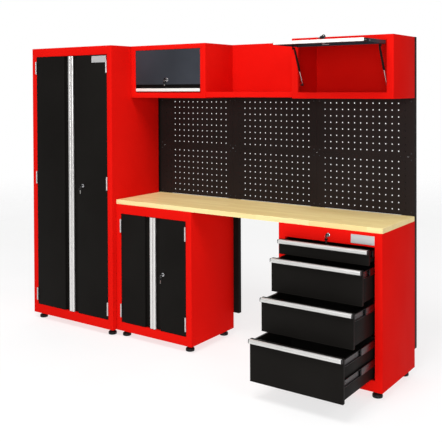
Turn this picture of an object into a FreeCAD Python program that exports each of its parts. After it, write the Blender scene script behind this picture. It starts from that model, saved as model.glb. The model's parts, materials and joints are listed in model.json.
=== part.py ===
import FreeCAD, Part
import math
import os
import re

import Sketcher

# Garage workbench row: a tall cabinet, a bench with a two-door base cabinet and a four-drawer
# unit, pegboards on four uprights, and two flap-door wall cabinets with an open shelf between.
# The frame: +X runs along the row to the right, +Y runs from the front to the wall, +Z is up.
# The origin is on the floor, in the middle of the row's length and depth with the drawers
# standing open as they rest.

Vector = FreeCAD.Vector

SIZES = {
    # the row
    "module": 650,
    "tall_width": 800,
    "tall_left": -1376.5,
    "bench_left": -573.5,
    "front": -54,
    "tall_front": -89,
    "depth": 484,
    "tall_depth": 500,
    "foot_height": 42,
    "tall_height": 1963,
    "base_height": 871,
    "steel": 1.5,
    # front frames of the cabinets
    "tall_stile": 43,
    "tall_lower_rail": 65.5,
    "tall_upper_rail": 61,
    "base_stile": 44,
    "base_lower_rail": 60,
    "base_upper_rail": 63,
    "drawer_lower_rail": 62,
    "fascia": 78,
    "rail_return": 18,
    "slide_return": 60,
    # wall cabinets and open shelf, heights above the carcass bottoms
    "wall_front": 108,
    "wall_bottom": 1600,
    "wall_stile": 42,
    "wall_lower_rail": 37,
    "wall_upper_rail": 32,
    "open_shelf_front": 113,
    "open_shelf_bottom": 1606,
    "open_shelf_lip": 35,
    # loose shelves, heights above the carcass bottoms
    "tall_shelf_1": 560,
    "tall_shelf_3": 1310,
    "tall_shelf_4": 1610,
    "shelf_above_lock": 35,
    "shelf_lip": 25,
    "shelf_clearance": 1,
    # doors
    "hinge_gap": 3,
    "door_gap": 2,
    "door_depth": 20,
    "strip_width": 24,
    "channel_width": 40,
    "strip_wall": 3,
    "knuckle_radius": 5,
    "knuckle_bore": 2.3,
    "pin_radius": 2,
    "hinge_height": 90,
    "hinge_stand_off": 6,
    "leaf_wall": 1.2,
    # drawers
    "front_gap": 2,
    "drawer_side_gap": 13,
    "drawer_box_depth": 440,
    "drawer_top_gap": 3,
    "drawer_spacing": 9.5,
    "drawer_1_height": 84,
    "drawer_2_height": 190,
    "drawer_3_height": 190,
    "drawer_4_height": 233,
    "drawer_1_open": 75,
    "drawer_2_open": 159,
    "drawer_3_open": 268,
    "drawer_4_open": 388,
    "pull_height": 24,
    "pull_reach": 18,
    "pull_wall": 2.5,
    "slide_length": 400,
    "slide_wall": 1.5,
    "slide_down": 30,
    "slide_pair_spacing": 104,
    "box_up": 8,
    "box_down": 12,
    # flap doors, measured from their hinge axis
    "flap_axis_out": 4,
    "flap_axis_up": 2,
    "flap_top_gap": 4,
    "flap_length": 289,
    "flap_depth": 20,
    "flap_strip": 22,
    "flap_channel": 26,
    "stud_down": 62,
    "stud_in": 35,
    "anchor_back": 40,
    "anchor_down": 252,
    "strut_inset": 14,
    "tube_radius": 7.5,
    "tube_length": 150,
    "rod_radius": 3,
    "rod_length": 134,
    "eye_radius": 6,
    "bracket_margin": 8,
    "bracket_half": 13,
    # locks
    "lock_radius": 10,
    "lock_bore": 6.3,
    "plug_radius": 6,
    "tall_lock_across": 119,
    "tall_lock_height": 980,
    "base_lock_across": 90,
    "base_lock_height": 438,
    "flap_lock_down": 208,
    "fascia_lock_height": 832,
    "key_bow_radius": 12,
    "door_cam": 29,
    "fascia_cam": 52,
    "flap_cam": 97,
    # worktop, pegboards, uprights and feet
    "top_set_back": 4,
    "top_depth": 475,
    "top_thickness": 29,
    "peg_pitch": 41,
    "peg_hole_radius": 4,
    "peg_column_margin": 58.5,
    "peg_row_margin": 31.75,
    "peg_sheet": 2,
    "peg_panel_height": 350,
    "strip_half": 12,
    "upright_width": 84,
    "upright_depth": 30,
    "upright_bottom": 109,
    "slot_pitch": 100,
    "slot_radius": 5,
    "tie_width": 60,
    "foot_radius": 29,
    "foot_inset": 50,
    "wall_hole_radius": 4.5,
    "wall_hole_spacing": 350,
    "wall_hole_down": 100,
    # screws
    "top_screw_side": 80,
    "top_screw_front": 70,
    "top_screw_back": 430,
    "board_screw_inset": 20,
}

DRAWERS = (1, 2, 3, 4)
PEG_COLUMNS = 14
PEG_ROWS = 8

# Heights of the hinges' middles above the carcass bottoms.
TALL_HINGES = (143, 1010, 1820)
BASE_HINGES = (141, 725)

# The ball slides' rolled members: how far the web and the flanges lie inwards from the edge of
# the cabinet's opening, half the member's height, and its wall.
SLIDE_SECTIONS = {
    "cabinet": (("0", "slide_wall"), ("slide_wall", "9.5"), "22.5", "slide_wall"),
    "intermediate": (("2.1", "3.3"), ("3.3", "10.4"), "20.5", "1.2"),
    "drawer": (("11.5", "drawer_side_gap"), ("4.1", "11.5"), "18.4", "1.2"),
}

doc = FreeCAD.newDocument("garage_workbench")
sheet = doc.addObject("Spreadsheet::Sheet", "sizes")
for row, (alias, size) in enumerate(SIZES.items(), start=1):
    sheet.set(f"A{row}", alias.replace("_", " "))
    sheet.set(f"B{row}", str(size))
    sheet.setAlias(f"B{row}", alias)
doc.recompute()

nodes = []


# ---------------------------------------------------------------- building blocks

def bound(expression):
    """An expression over the sheet's cells, from words that are its aliases."""
    def cell(match):
        return "sizes." + match.group(0) if match.group(0) in SIZES else match.group(0)
    return re.sub(r"[a-z]\w*", cell, str(expression))


def value(expression):
    """The number that an expression over the sheet's cells has."""
    return float(sheet.evalExpression(bound(expression)))


def plate(name, x, y, z):
    """A flat rectangular piece between two values along each axis."""
    box = doc.addObject("Part::Box", name)
    for axis, size, (low, high) in (("x", "Length", x), ("y", "Width", y), ("z", "Height", z)):
        box.setExpression("Placement.Base." + axis, bound(low))
        box.setExpression(size, bound(f"({high}) - ({low})"))
    return box


def round_bar(name, radius, axis, centre, reach):
    """A cylinder from a low to a high value of one axis, centred on the other two."""
    bar = doc.addObject("Part::Cylinder", name)
    low, high = reach
    places = dict(zip([other for other in "xyz" if other != axis], centre))
    places[axis] = low
    turn = {"x": FreeCAD.Rotation(Vector(0, 1, 0), 90),
            "y": FreeCAD.Rotation(Vector(1, 0, 0), -90),
            "z": FreeCAD.Rotation()}[axis]
    bar.Placement = FreeCAD.Placement(Vector(), turn)
    bar.setExpression("Radius", bound(radius))
    bar.setExpression("Height", bound(f"({high}) - ({low})"))
    for direction, place in places.items():
        bar.setExpression("Placement.Base." + direction, bound(place))
    return bar


def cut(name, base, tool):
    """The base piece with the tool piece taken out of it."""
    result = doc.addObject("Part::Cut", name)
    result.Base = base
    result.Tool = tool
    return result


def tube(name, radius, bore, axis, centre, reach):
    """A round bar with a hole along its whole length."""
    outer = round_bar(name + "_outer", radius, axis, centre, reach)
    inner = round_bar(name + "_bore", bore, axis, centre, reach)
    return cut(name, outer, inner)


def node(label, pieces):
    """One named sub-part, as a group of its separate solids."""
    group = doc.addObject("Part::Compound", "node_" + label)
    group.Label = label
    group.Links = pieces
    nodes.append(group)
    return group


def span(origin, direction, near, far):
    """A low and a high value, from two distances that run in one direction from an origin."""
    if direction > 0:
        return (f"{origin} + ({near})", f"{origin} + ({far})")
    return (f"{origin} - ({far})", f"{origin} - ({near})")


def copies(name, original, places):
    """The original and linked copies of it, each moved to its place."""
    links = []
    for index, place in enumerate(places, start=1):
        link = doc.addObject("App::Link", f"{name}_{index}")
        link.LinkedObject = original
        link.Placement.Base = place
        links.append(link)
    return links


def origin_plane(body, role):
    """One of a body's own origin planes."""
    return next(feature for feature in body.Origin.OriginFeatures if feature.Role == role)


def sketch_on(body, name, role):
    """An empty sketch on one of a body's origin planes."""
    sketch = body.newObject("Sketcher::SketchObject", name)
    sketch.AttachmentSupport = [(origin_plane(body, role), "")]
    sketch.MapMode = "FlatFace"
    return sketch


def draw_rectangle(sketch, left, bottom, width, height):
    """A fully constrained rectangle whose place and size are expressions."""
    corners = [Vector(1, 1, 0), Vector(3, 1, 0), Vector(3, 2, 0), Vector(1, 2, 0)]
    for index in range(4):
        sketch.addGeometry(Part.LineSegment(corners[index], corners[(index + 1) % 4]), False)
    for index in range(4):
        sketch.addConstraint(Sketcher.Constraint("Coincident", index, 2, (index + 1) % 4, 1))
    for index in (0, 2):
        sketch.addConstraint(Sketcher.Constraint("Horizontal", index))
    for index in (1, 3):
        sketch.addConstraint(Sketcher.Constraint("Vertical", index))
    dimensions = (
        ("DistanceX", (0, 1, 0, 2), width),
        ("DistanceY", (1, 1, 1, 2), height),
        ("DistanceX", (-1, 1, 0, 1), left),
        ("DistanceY", (-1, 1, 0, 1), bottom),
    )
    for kind, ends, expression in dimensions:
        place = sketch.addConstraint(Sketcher.Constraint(kind, *ends, value(expression)))
        sketch.setExpression(f"Constraints[{place}]", bound(expression))


def draw_circle(sketch, across, up, radius):
    """A fully constrained circle whose centre and radius are expressions."""
    circle = Part.Circle(Vector(value(across), value(up), 0), Vector(0, 0, 1), value(radius))
    sketch.addGeometry(circle, False)
    dimensions = (
        (Sketcher.Constraint("DistanceX", -1, 1, 0, 3, value(across)), across),
        (Sketcher.Constraint("DistanceY", -1, 1, 0, 3, value(up)), up),
        (Sketcher.Constraint("Radius", 0, value(radius)), radius),
    )
    for constraint, expression in dimensions:
        place = sketch.addConstraint(constraint)
        sketch.setExpression(f"Constraints[{place}]", bound(expression))


def draw_outline(sketch, points):
    """A closed outline of straight lines through the given points."""
    corners = [Vector(value(across), value(up), 0) for across, up in points]
    for index, corner in enumerate(corners):
        sketch.addGeometry(Part.LineSegment(corner, corners[(index + 1) % len(corners)]), False)


def pad(body, sketch, length, backwards=False):
    """The sketch's outline made solid over a length."""
    feature = body.newObject("PartDesign::Pad", sketch.Name + "_pad")
    feature.Profile = sketch
    feature.Reversed = backwards
    feature.setExpression("Length", bound(length))
    doc.recompute()
    return feature


def pocket(body, sketch, length):
    """The sketch's outline cut out of the body, on whichever side the material is."""
    before = body.Shape.Volume
    feature = body.newObject("PartDesign::Pocket", sketch.Name + "_pocket")
    feature.Profile = sketch
    feature.setExpression("Length", bound(length))
    doc.recompute()
    if math.isclose(feature.Shape.Volume, before, rel_tol=1e-9):
        feature.Reversed = True
        doc.recompute()
    return feature


def repeat(body, feature, rows):
    """A feature repeated in one or two directions: (sketch axis, pitch, count) for each."""
    pattern = body.newObject("PartDesign::MultiTransform", feature.Name + "_pattern")
    pattern.Originals = [feature]
    steps = []
    for index, (axis, pitch, count) in enumerate(rows, start=1):
        step = body.newObject("PartDesign::LinearPattern", f"{feature.Name}_row_{index}")
        step.Direction = (feature.Profile[0], [axis])
        step.Occurrences = count
        step.setExpression("Length", bound(f"{pitch} * {count - 1}"))
        steps.append(step)
    pattern.Transformations = steps
    body.Tip = pattern
    doc.recompute()


# ---------------------------------------------------------------- cabinets

def front_frame(left, right, front, bottom, top, stile, lower, upper, stile_return):
    """Two stiles and two rails of folded sheet: a face, and a return back from the opening."""
    face = (front, f"{front} + steel")
    back = (f"{front} + steel", f"{front} + {stile_return}")
    rail_back = (f"{front} + steel", f"{front} + steel + rail_return")
    opening_low = f"{bottom} + {lower}"
    opening_high = f"{top} - {upper}"
    height = (f"{bottom} + steel", f"{top} - steel")
    between = (f"{left} + {stile}", f"{right} - {stile}")
    clear = (opening_low, opening_high)
    left_stile = (f"{left} + steel", f"{left} + {stile}")
    right_stile = (f"{right} - {stile}", f"{right} - steel")
    left_fold = (f"{left} + {stile} - steel", f"{left} + {stile}")
    right_fold = (f"{right} - {stile}", f"{right} - {stile} + steel")
    return [
        plate("stile", left_stile, face, height),
        plate("stile", right_stile, face, height),
        plate("stile_return", left_fold, back, clear),
        plate("stile_return", right_fold, back, clear),
        plate("lower_rail", between, face, (f"{bottom} + steel", opening_low)),
        plate("upper_rail", between, face, (opening_high, f"{top} - steel")),
        plate("lower_return", between, rail_back, (f"{opening_low} - steel", opening_low)),
        plate("upper_return", between, rail_back, (opening_high, f"{opening_high} + steel")),
    ]


def shell(left, right, front, back, bottom, top):
    """Two sides, a top, a bottom and a back of flat sheet, edge to edge."""
    inside = (f"{left} + steel", f"{right} - steel")
    full_depth = (front, back)
    between = (f"{bottom} + steel", f"{top} - steel")
    return [
        plate("side", (left, f"{left} + steel"), full_depth, (bottom, top)),
        plate("side", (f"{right} - steel", right), full_depth, (bottom, top)),
        plate("bottom", inside, full_depth, (bottom, f"{bottom} + steel")),
        plate("top", inside, full_depth, (f"{top} - steel", top)),
        plate("back", inside, (f"{back} - steel", back), between),
    ]


def tall_cabinet():
    """The tall cabinet's welded body."""
    left = "tall_left"
    right = "(tall_left + tall_width)"
    back = "(tall_front + tall_depth)"
    bottom = "foot_height"
    top = "(foot_height + tall_height)"
    body = shell(left, right, "tall_front", back, bottom, top)
    frame = front_frame(left, right, "tall_front", bottom, top,
                        "tall_stile", "tall_lower_rail", "tall_upper_rail", "rail_return")
    node("tall_carcass", body + frame)


def base_cabinet():
    """The two-door base cabinet's welded body."""
    left = "bench_left"
    right = "(bench_left + module)"
    back = "(front + depth)"
    bottom = "foot_height"
    top = "(foot_height + base_height)"
    body = shell(left, right, "front", back, bottom, top)
    frame = front_frame(left, right, "front", bottom, top,
                        "base_stile", "base_lower_rail", "base_upper_rail", "rail_return")
    node("base_carcass", body + frame)


def drawer_unit():
    """The drawer unit's welded body, with posts inside its sides that carry the slides."""
    left = "(bench_left + 2 * module)"
    right = "(bench_left + 3 * module)"
    back = "(front + depth)"
    bottom = "foot_height"
    top = "(foot_height + base_height)"
    body = shell(left, right, "front", back, bottom, top)
    frame = front_frame(left, right, "front", bottom, top,
                        "base_stile", "drawer_lower_rail", "fascia", "slide_return")
    fascia = frame[5]
    lock_hole = round_bar("fascia_lock_hole", "lock_radius", "y",
                          (f"{left} + module / 2", "foot_height + fascia_lock_height"),
                          ("front - 1", "front + 5"))
    frame[5] = cut("fascia_with_hole", fascia, lock_hole)
    posts = []
    height = (f"{bottom} + steel", f"{top} - fascia")
    post_back = "(front + steel + rail_return + slide_length)"
    for side, direction in ((left, 1), (right, -1)):
        posts.append(plate("rear_post", span(side, direction, "base_stile - steel", "base_stile"),
                           (f"{post_back} - slide_return", post_back), height))
        posts.append(plate("post_web", span(side, direction, "steel", "base_stile - steel"),
                           (f"{post_back} - steel", post_back), height))
    node("drawer_carcass", body + frame + posts)


def wall_cabinet(label, left, holes):
    """A flap-door wall cabinet's welded body, with the brackets that hold its gas struts."""
    right = f"({left} + module)"
    back = "(front + depth)"
    bottom = "(foot_height + wall_bottom)"
    top = "(foot_height + tall_height)"
    body = shell(left, right, "wall_front", back, bottom, top)
    if holes:
        panel = body[4]
        for side in (-1, 1):
            hole = round_bar("wall_hole", "wall_hole_radius", "y",
                             (f"{left} + module / 2 + {side} * wall_hole_spacing / 2",
                              f"{top} - wall_hole_down"),
                             (f"{back} - 10", f"{back} + 10"))
            panel = cut("back_with_hole", panel, hole)
        body[4] = panel
    frame = front_frame(left, right, "wall_front", bottom, top,
                        "wall_stile", "wall_lower_rail", "wall_upper_rail", "rail_return")
    brackets = []
    anchor = "(foot_height + tall_height - wall_upper_rail + flap_axis_up - anchor_down)"
    reach = ("wall_front + rail_return", "wall_front - flap_axis_out + anchor_back + bracket_margin")
    for side, direction in ((left, 1), (right, -1)):
        brackets.append(plate("strut_bracket",
                              span(side, direction, "wall_stile - steel", "wall_stile"),
                              reach, (f"{anchor} - bracket_half", f"{anchor} + bracket_half")))
    node(label, body + frame + brackets)


def open_wall_shelf():
    """The folded tray and back panel between the two wall cabinets."""
    left = "(bench_left + module)"
    right = "(bench_left + 2 * module)"
    back = "(front + depth)"
    low = "(foot_height + open_shelf_bottom)"
    deck = f"({low} + open_shelf_lip)"
    top = "(foot_height + tall_height)"
    tray = plate("deck", (left, right), ("open_shelf_front", back), (f"{deck} - steel", deck))
    lip = plate("lip", (left, right), ("open_shelf_front", "open_shelf_front + steel"),
                (low, f"{deck} - steel"))
    rear_lip = plate("rear_lip", (left, right), (f"{back} - steel", back),
                     (low, f"{deck} - steel"))
    panel = plate("back", (left, right), (f"{back} - steel", back), (deck, top))
    node("open_wall_shelf", [tray, lip, rear_lip, panel])


def shelf(left, right, front, back, top):
    """A loose shelf of folded sheet: a deck with a lip down at the front and at the back."""
    across = (f"{left} + steel + shelf_clearance", f"{right} - steel - shelf_clearance")
    lip = (f"{top} - shelf_lip", f"{top} - steel")
    front_edge = f"({front} + door_depth + 1.5 * shelf_clearance)"
    rear_edge = f"({back} - steel - shelf_clearance)"
    return [
        plate("deck", across, (front_edge, rear_edge), (f"{top} - steel", top)),
        plate("front_lip", across, (front_edge, f"{front_edge} + steel"), lip),
        plate("rear_lip", across, (f"{rear_edge} - steel", rear_edge), lip),
    ]


def shelves():
    """Four shelves in the tall cabinet and one in the base cabinet.

    The second shelf up in the tall cabinet and the base cabinet's shelf also catch the lock
    cams, so they stand just above their locks.
    """
    pieces = []
    tall = ("tall_left", "(tall_left + tall_width)", "tall_front", "(tall_front + tall_depth)")
    for top in ("tall_shelf_1", "tall_lock_height + shelf_above_lock",
                "tall_shelf_3", "tall_shelf_4"):
        pieces += shelf(*tall, f"(foot_height + {top})")
    base = ("bench_left", "(bench_left + module)", "front", "(front + depth)")
    pieces += shelf(*base, "(foot_height + base_lock_height + shelf_above_lock)")
    node("cabinet_shelves", pieces)


# ---------------------------------------------------------------- locks

def lock_body(label, across, face, height):
    """A cam lock's fixed barrel, with its round flange in front of the sheet."""
    centre = (across, height)
    pieces = [
        tube("flange", "lock_radius + 3", "lock_bore", "y", centre, (f"{face} - 2", face)),
        tube("barrel", "lock_radius - 0.2", "lock_bore", "y", centre, (face, f"{face} + 19.5")),
    ]
    return node(label, pieces)


def lock_key(label, across, face, height, cam_direction, cam_length):
    """The turning pieces of a cam lock: plug and cam, with the key standing in it."""
    centre = (across, height)
    cam_across = span(across, cam_direction, "-6", cam_length)
    pieces = [
        round_bar("plug", "plug_radius", "y", centre, (f"{face} - 3", f"{face} + 23.5")),
        plate("cam", cam_across, (f"{face} + 23.5", f"{face} + 25.5"),
              (f"{height} - 6", f"{height} + 6")),
        plate("key_blade", (f"{across} - 1.2", f"{across} + 1.2"),
              (f"{face} - 11", f"{face} - 3"), (f"{height} - 3.5", f"{height} + 3.5")),
        round_bar("key_bow", "key_bow_radius", "x", (f"{face} - 22", height),
                  (f"{across} - 1.2", f"{across} + 1.2")),
    ]
    return node(label, pieces)


# ---------------------------------------------------------------- hinged doors

def hinged_door(cabinet, side, edge, direction, front, low, high, half_opening, lock):
    """A folded sheet door pan with an aluminium strip at its free edge.

    It runs from the opening's edge towards the middle, and a finger channel is sunk into its
    front beside the strip.
    """
    end = f"({half_opening} - door_gap)"
    strip_start = f"({end} - strip_width)"
    channel_start = f"({strip_start} - channel_width)"
    z = (f"{low} + door_gap", f"{high} - door_gap")
    inner_y = (f"{front} + steel", f"{front} + door_depth")
    skin = plate("skin", span(edge, direction, "hinge_gap", channel_start),
                 (front, f"{front} + steel"), z)
    if lock:
        hole = round_bar("lock_hole", "lock_radius", "y", lock, (f"{front} - 1", f"{front} + 5"))
        skin = cut("skin_with_hole", skin, hole)
    pan = [
        skin,
        plate("hinge_edge", span(edge, direction, "hinge_gap", "hinge_gap + steel"), inner_y, z),
        plate("channel_side", span(edge, direction, f"{channel_start} - steel", channel_start),
              (f"{front} + steel", f"{front} + door_depth - steel"), z),
        plate("channel_floor", span(edge, direction, f"{channel_start} - steel", end),
              (f"{front} + door_depth - steel", f"{front} + door_depth"), z),
    ]
    fold = span(edge, direction, "hinge_gap + steel", f"{channel_start} - steel")
    pan.append(plate("top_edge", fold, inner_y, (f"{z[1]} - steel", z[1])))
    pan.append(plate("bottom_edge", fold, inner_y, (z[0], f"{z[0]} + steel")))
    node(f"{cabinet}_door_{side}", pan)
    strip = [
        plate("face", span(edge, direction, strip_start, end),
              (front, f"{front} + strip_wall"), z),
        plate("edge", span(edge, direction, f"{end} - strip_wall", end),
              (f"{front} + strip_wall", f"{front} + door_depth - steel"), z),
    ]
    node(f"{cabinet}_handle_{side}", strip)


def hinge_axis(edge, direction, front):
    """The hinge pins' place: in the middle of the side gap, just in front of the frame."""
    return (span(edge, direction, "hinge_gap / 2", 0)[0 if direction > 0 else 1],
            f"{front} - hinge_stand_off")


def door_leaves(label, edge, direction, front, centres):
    """The door's half of its hinges: the middle knuckle and the leaf on the door's edge."""
    axis = hinge_axis(edge, direction, front)
    pieces = []
    for centre in centres:
        middle = (f"{centre} - hinge_height / 6 + 0.3", f"{centre} + hinge_height / 6 - 0.3")
        pieces.append(tube("knuckle", "knuckle_radius", "knuckle_bore", "z", axis, middle))
        pieces.append(plate("leaf", span(edge, direction, "hinge_gap - leaf_wall", "hinge_gap"),
                            (f"{front} - hinge_stand_off + knuckle_radius", f"{front} + 18"),
                            middle))
    node(label, pieces)


def frame_leaves(edge, direction, front, centres):
    """The frame's half of the hinges: outer knuckles, leaf on the stile's return, and pin."""
    axis = hinge_axis(edge, direction, front)
    pieces = []
    for centre in centres:
        half = "hinge_height / 2"
        third = "hinge_height / 6"
        lower = (f"{centre} - {half}", f"{centre} - {third}")
        upper = (f"{centre} + {third}", f"{centre} + {half}")
        for part in (lower, upper):
            pieces.append(tube("knuckle", "knuckle_radius", "knuckle_bore", "z", axis, part))
            pieces.append(plate("leaf", span(edge, direction, "0", "leaf_wall"),
                                (f"{front} - hinge_stand_off + knuckle_radius", f"{front} + 18"),
                                part))
        pieces.append(round_bar("pin", "pin_radius", "z", axis,
                                (f"{centre} - {half} - 2", f"{centre} + {half} + 2")))
    return pieces


def cabinet_doors(cabinet, left, width, front, stile, low, high, hinge_heights, lock_across,
                  lock_height):
    """A pair of doors with their handles, hinges and lock; returns the frame's hinge halves."""
    half_opening = f"({width} / 2 - {stile})"
    edges = (("left", f"({left} + {stile})", 1), ("right", f"({left} + {width} - {stile})", -1))
    centres = [f"(foot_height + {height})" for height in hinge_heights]
    frame_half = []
    for side, edge, direction in edges:
        lock = (lock_across, lock_height) if side == "right" else None
        hinged_door(cabinet, side, edge, direction, front, low, high, half_opening, lock)
        door_leaves(f"{cabinet}_hinge_leaves_{side}", edge, direction, front, centres)
        frame_half += frame_leaves(edge, direction, front, centres)
    lock_body(f"{cabinet}_lock_body", lock_across, front, lock_height)
    lock_key(f"{cabinet}_lock_key", lock_across, front, lock_height, -1, "door_cam")
    return frame_half


def all_doors():
    """The doors of the tall and the base cabinet, and the fixed halves of their hinges."""
    fixed = cabinet_doors("tall", "tall_left", "tall_width", "tall_front", "tall_stile",
                          "foot_height + tall_lower_rail",
                          "foot_height + tall_height - tall_upper_rail",
                          TALL_HINGES,
                          "(tall_left + tall_width / 2 + tall_lock_across)",
                          "(foot_height + tall_lock_height)")
    fixed += cabinet_doors("base", "bench_left", "module", "front", "base_stile",
                           "foot_height + base_lower_rail",
                           "foot_height + base_height - base_upper_rail",
                           BASE_HINGES,
                           "(bench_left + module / 2 + base_lock_across)",
                           "(foot_height + base_lock_height)")
    node("hinge_frame_leaves", fixed)


# ---------------------------------------------------------------- drawers

def drawer_top(number):
    """The height of a drawer front's upper edge."""
    above = "".join(f" - drawer_{upper}_height - drawer_spacing" for upper in range(1, number))
    return f"(foot_height + base_height - fascia - drawer_top_gap{above})"


def slide_heights(number):
    """The heights of a drawer's slides: the deep bottom drawer has a second pair lower down."""
    upper = f"({drawer_top(number)} - slide_down)"
    return [upper, f"({upper} - slide_pair_spacing)"] if number == 4 else [upper]


def channel_member(side, direction, web, flange, half_height, wall, y, height):
    """One member of a ball slide: an upright web and two flanges, open to one side."""
    upper = (f"{height} + {half_height} - {wall}", f"{height} + {half_height}")
    lower = (f"{height} - {half_height}", f"{height} - {half_height} + {wall}")
    return [
        plate("web", span(side, direction, *web), y,
              (f"{height} - {half_height}", f"{height} + {half_height}")),
        plate("flange", span(side, direction, *flange), y, upper),
        plate("flange", span(side, direction, *flange), y, lower),
    ]


def slide_members(number, kind):
    """A drawer's slide members of one kind, on both sides, in their closed place.

    Distances run inwards from the edge of the cabinet's opening to the side of the drawer.
    """
    y = ("front + steel + rail_return + 1", "front + steel + rail_return + slide_length")
    web, flange, half_height, wall = SLIDE_SECTIONS[kind]
    edges = (("(bench_left + 2 * module + base_stile)", 1),
             ("(bench_left + 3 * module - base_stile)", -1))
    pieces = []
    for height in slide_heights(number):
        for edge, direction in edges:
            pieces += channel_member(edge, direction, web, flange, half_height, wall, y, height)
    return pieces


def pull_out(group, number, share):
    """The drawer's piece moved out of the cabinet by its share of the drawer's rest opening."""
    group.setExpression("Placement.Base.y", bound(f"-drawer_{number}_open * {share}"))


def drawer(number):
    """A drawer with its front pan, box, pull and the slide members that travel with it."""
    left = "(bench_left + 2 * module + base_stile)"
    right = "(bench_left + 3 * module - base_stile)"
    top = drawer_top(number)
    bottom = f"({top} - drawer_{number}_height)"
    pan_x = (f"{left} + front_gap", f"{right} - front_gap")
    pan_y = ("front + steel", "front + door_depth")
    pan_z = (bottom, top)
    flange_y = ("front + steel", "front + door_depth - steel")
    fold = (f"{pan_x[0]} + steel", f"{pan_x[1]} - steel")
    box_x = (f"{left} + drawer_side_gap", f"{right} - drawer_side_gap")
    inside_x = (f"{box_x[0]} + steel", f"{box_x[1]} - steel")
    box_y = ("front + door_depth", "front + drawer_box_depth")
    box_z = (f"{bottom} + box_up", f"{top} - box_down")
    deck = (f"{bottom} + box_up", f"{bottom} + box_up + steel")
    above_deck = (f"{bottom} + box_up + steel", f"{top} - box_down")
    pieces = [
        plate("front_skin", pan_x, ("front", "front + steel"), pan_z),
        plate("front_edge", (pan_x[0], f"{pan_x[0]} + steel"), pan_y, pan_z),
        plate("front_edge", (f"{pan_x[1]} - steel", pan_x[1]), pan_y, pan_z),
        plate("front_top", fold, flange_y, (f"{top} - steel", top)),
        plate("front_bottom", fold, flange_y, (bottom, f"{bottom} + steel")),
        plate("inner_front", fold, ("front + door_depth - steel", "front + door_depth"),
              (f"{bottom} + steel", f"{top} - steel")),
        plate("side", (box_x[0], inside_x[0]), box_y, box_z),
        plate("side", (inside_x[1], box_x[1]), box_y, box_z),
        plate("deck", inside_x, box_y, deck),
        plate("back", inside_x, (f"{box_y[1]} - steel", box_y[1]), above_deck),
    ]
    pull_out(node(f"drawer_{number}_box", pieces), number, 1)
    reach = "(front - pull_reach)"
    pull = [
        plate("web", pan_x, ("front - pull_wall", "front"), (f"{top} - pull_height", top)),
        plate("roof", pan_x, (reach, "front - pull_wall"), (f"{top} - pull_wall", top)),
        plate("lip", pan_x, (reach, f"{reach} + pull_wall"),
              (f"{top} - pull_height + 1", f"{top} - pull_wall")),
    ]
    pull_out(node(f"drawer_{number}_handle", pull), number, 1)
    travelling = node(f"drawer_{number}_slide_members", slide_members(number, "drawer"))
    pull_out(travelling, number, 1)
    middle = node(f"drawer_{number}_slide_intermediates", slide_members(number, "intermediate"))
    pull_out(middle, number, 0.5)


def all_drawers():
    """The four drawers, the slide members fixed in the cabinet, and the lock in the fascia."""
    fixed = []
    for number in DRAWERS:
        drawer(number)
        fixed += slide_members(number, "cabinet")
    node("slide_cabinet_members", fixed)
    across = "(bench_left + 2.5 * module)"
    height = "(foot_height + fascia_lock_height)"
    lock_body("drawer_lock_body", across, "front", height)
    lock_key("drawer_lock_key", across, "front", height, 1, "fascia_cam")


# ---------------------------------------------------------------- flap doors

def flap_turn(open_angle):
    """The turn that takes a flap from hanging closed to its open angle."""
    return FreeCAD.Rotation(Vector(1, 0, 0), -open_angle)


def in_flap_place(group, left, open_angle):
    """A sub-part built from the flap's hinge axis, put in its place on the cabinet."""
    group.Placement = FreeCAD.Placement(Vector(), flap_turn(open_angle))
    group.setExpression("Placement.Base.x", bound(left))
    group.setExpression("Placement.Base.y", bound("wall_front - flap_axis_out"))
    group.setExpression("Placement.Base.z",
                        bound("foot_height + tall_height - wall_upper_rail + flap_axis_up"))


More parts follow.
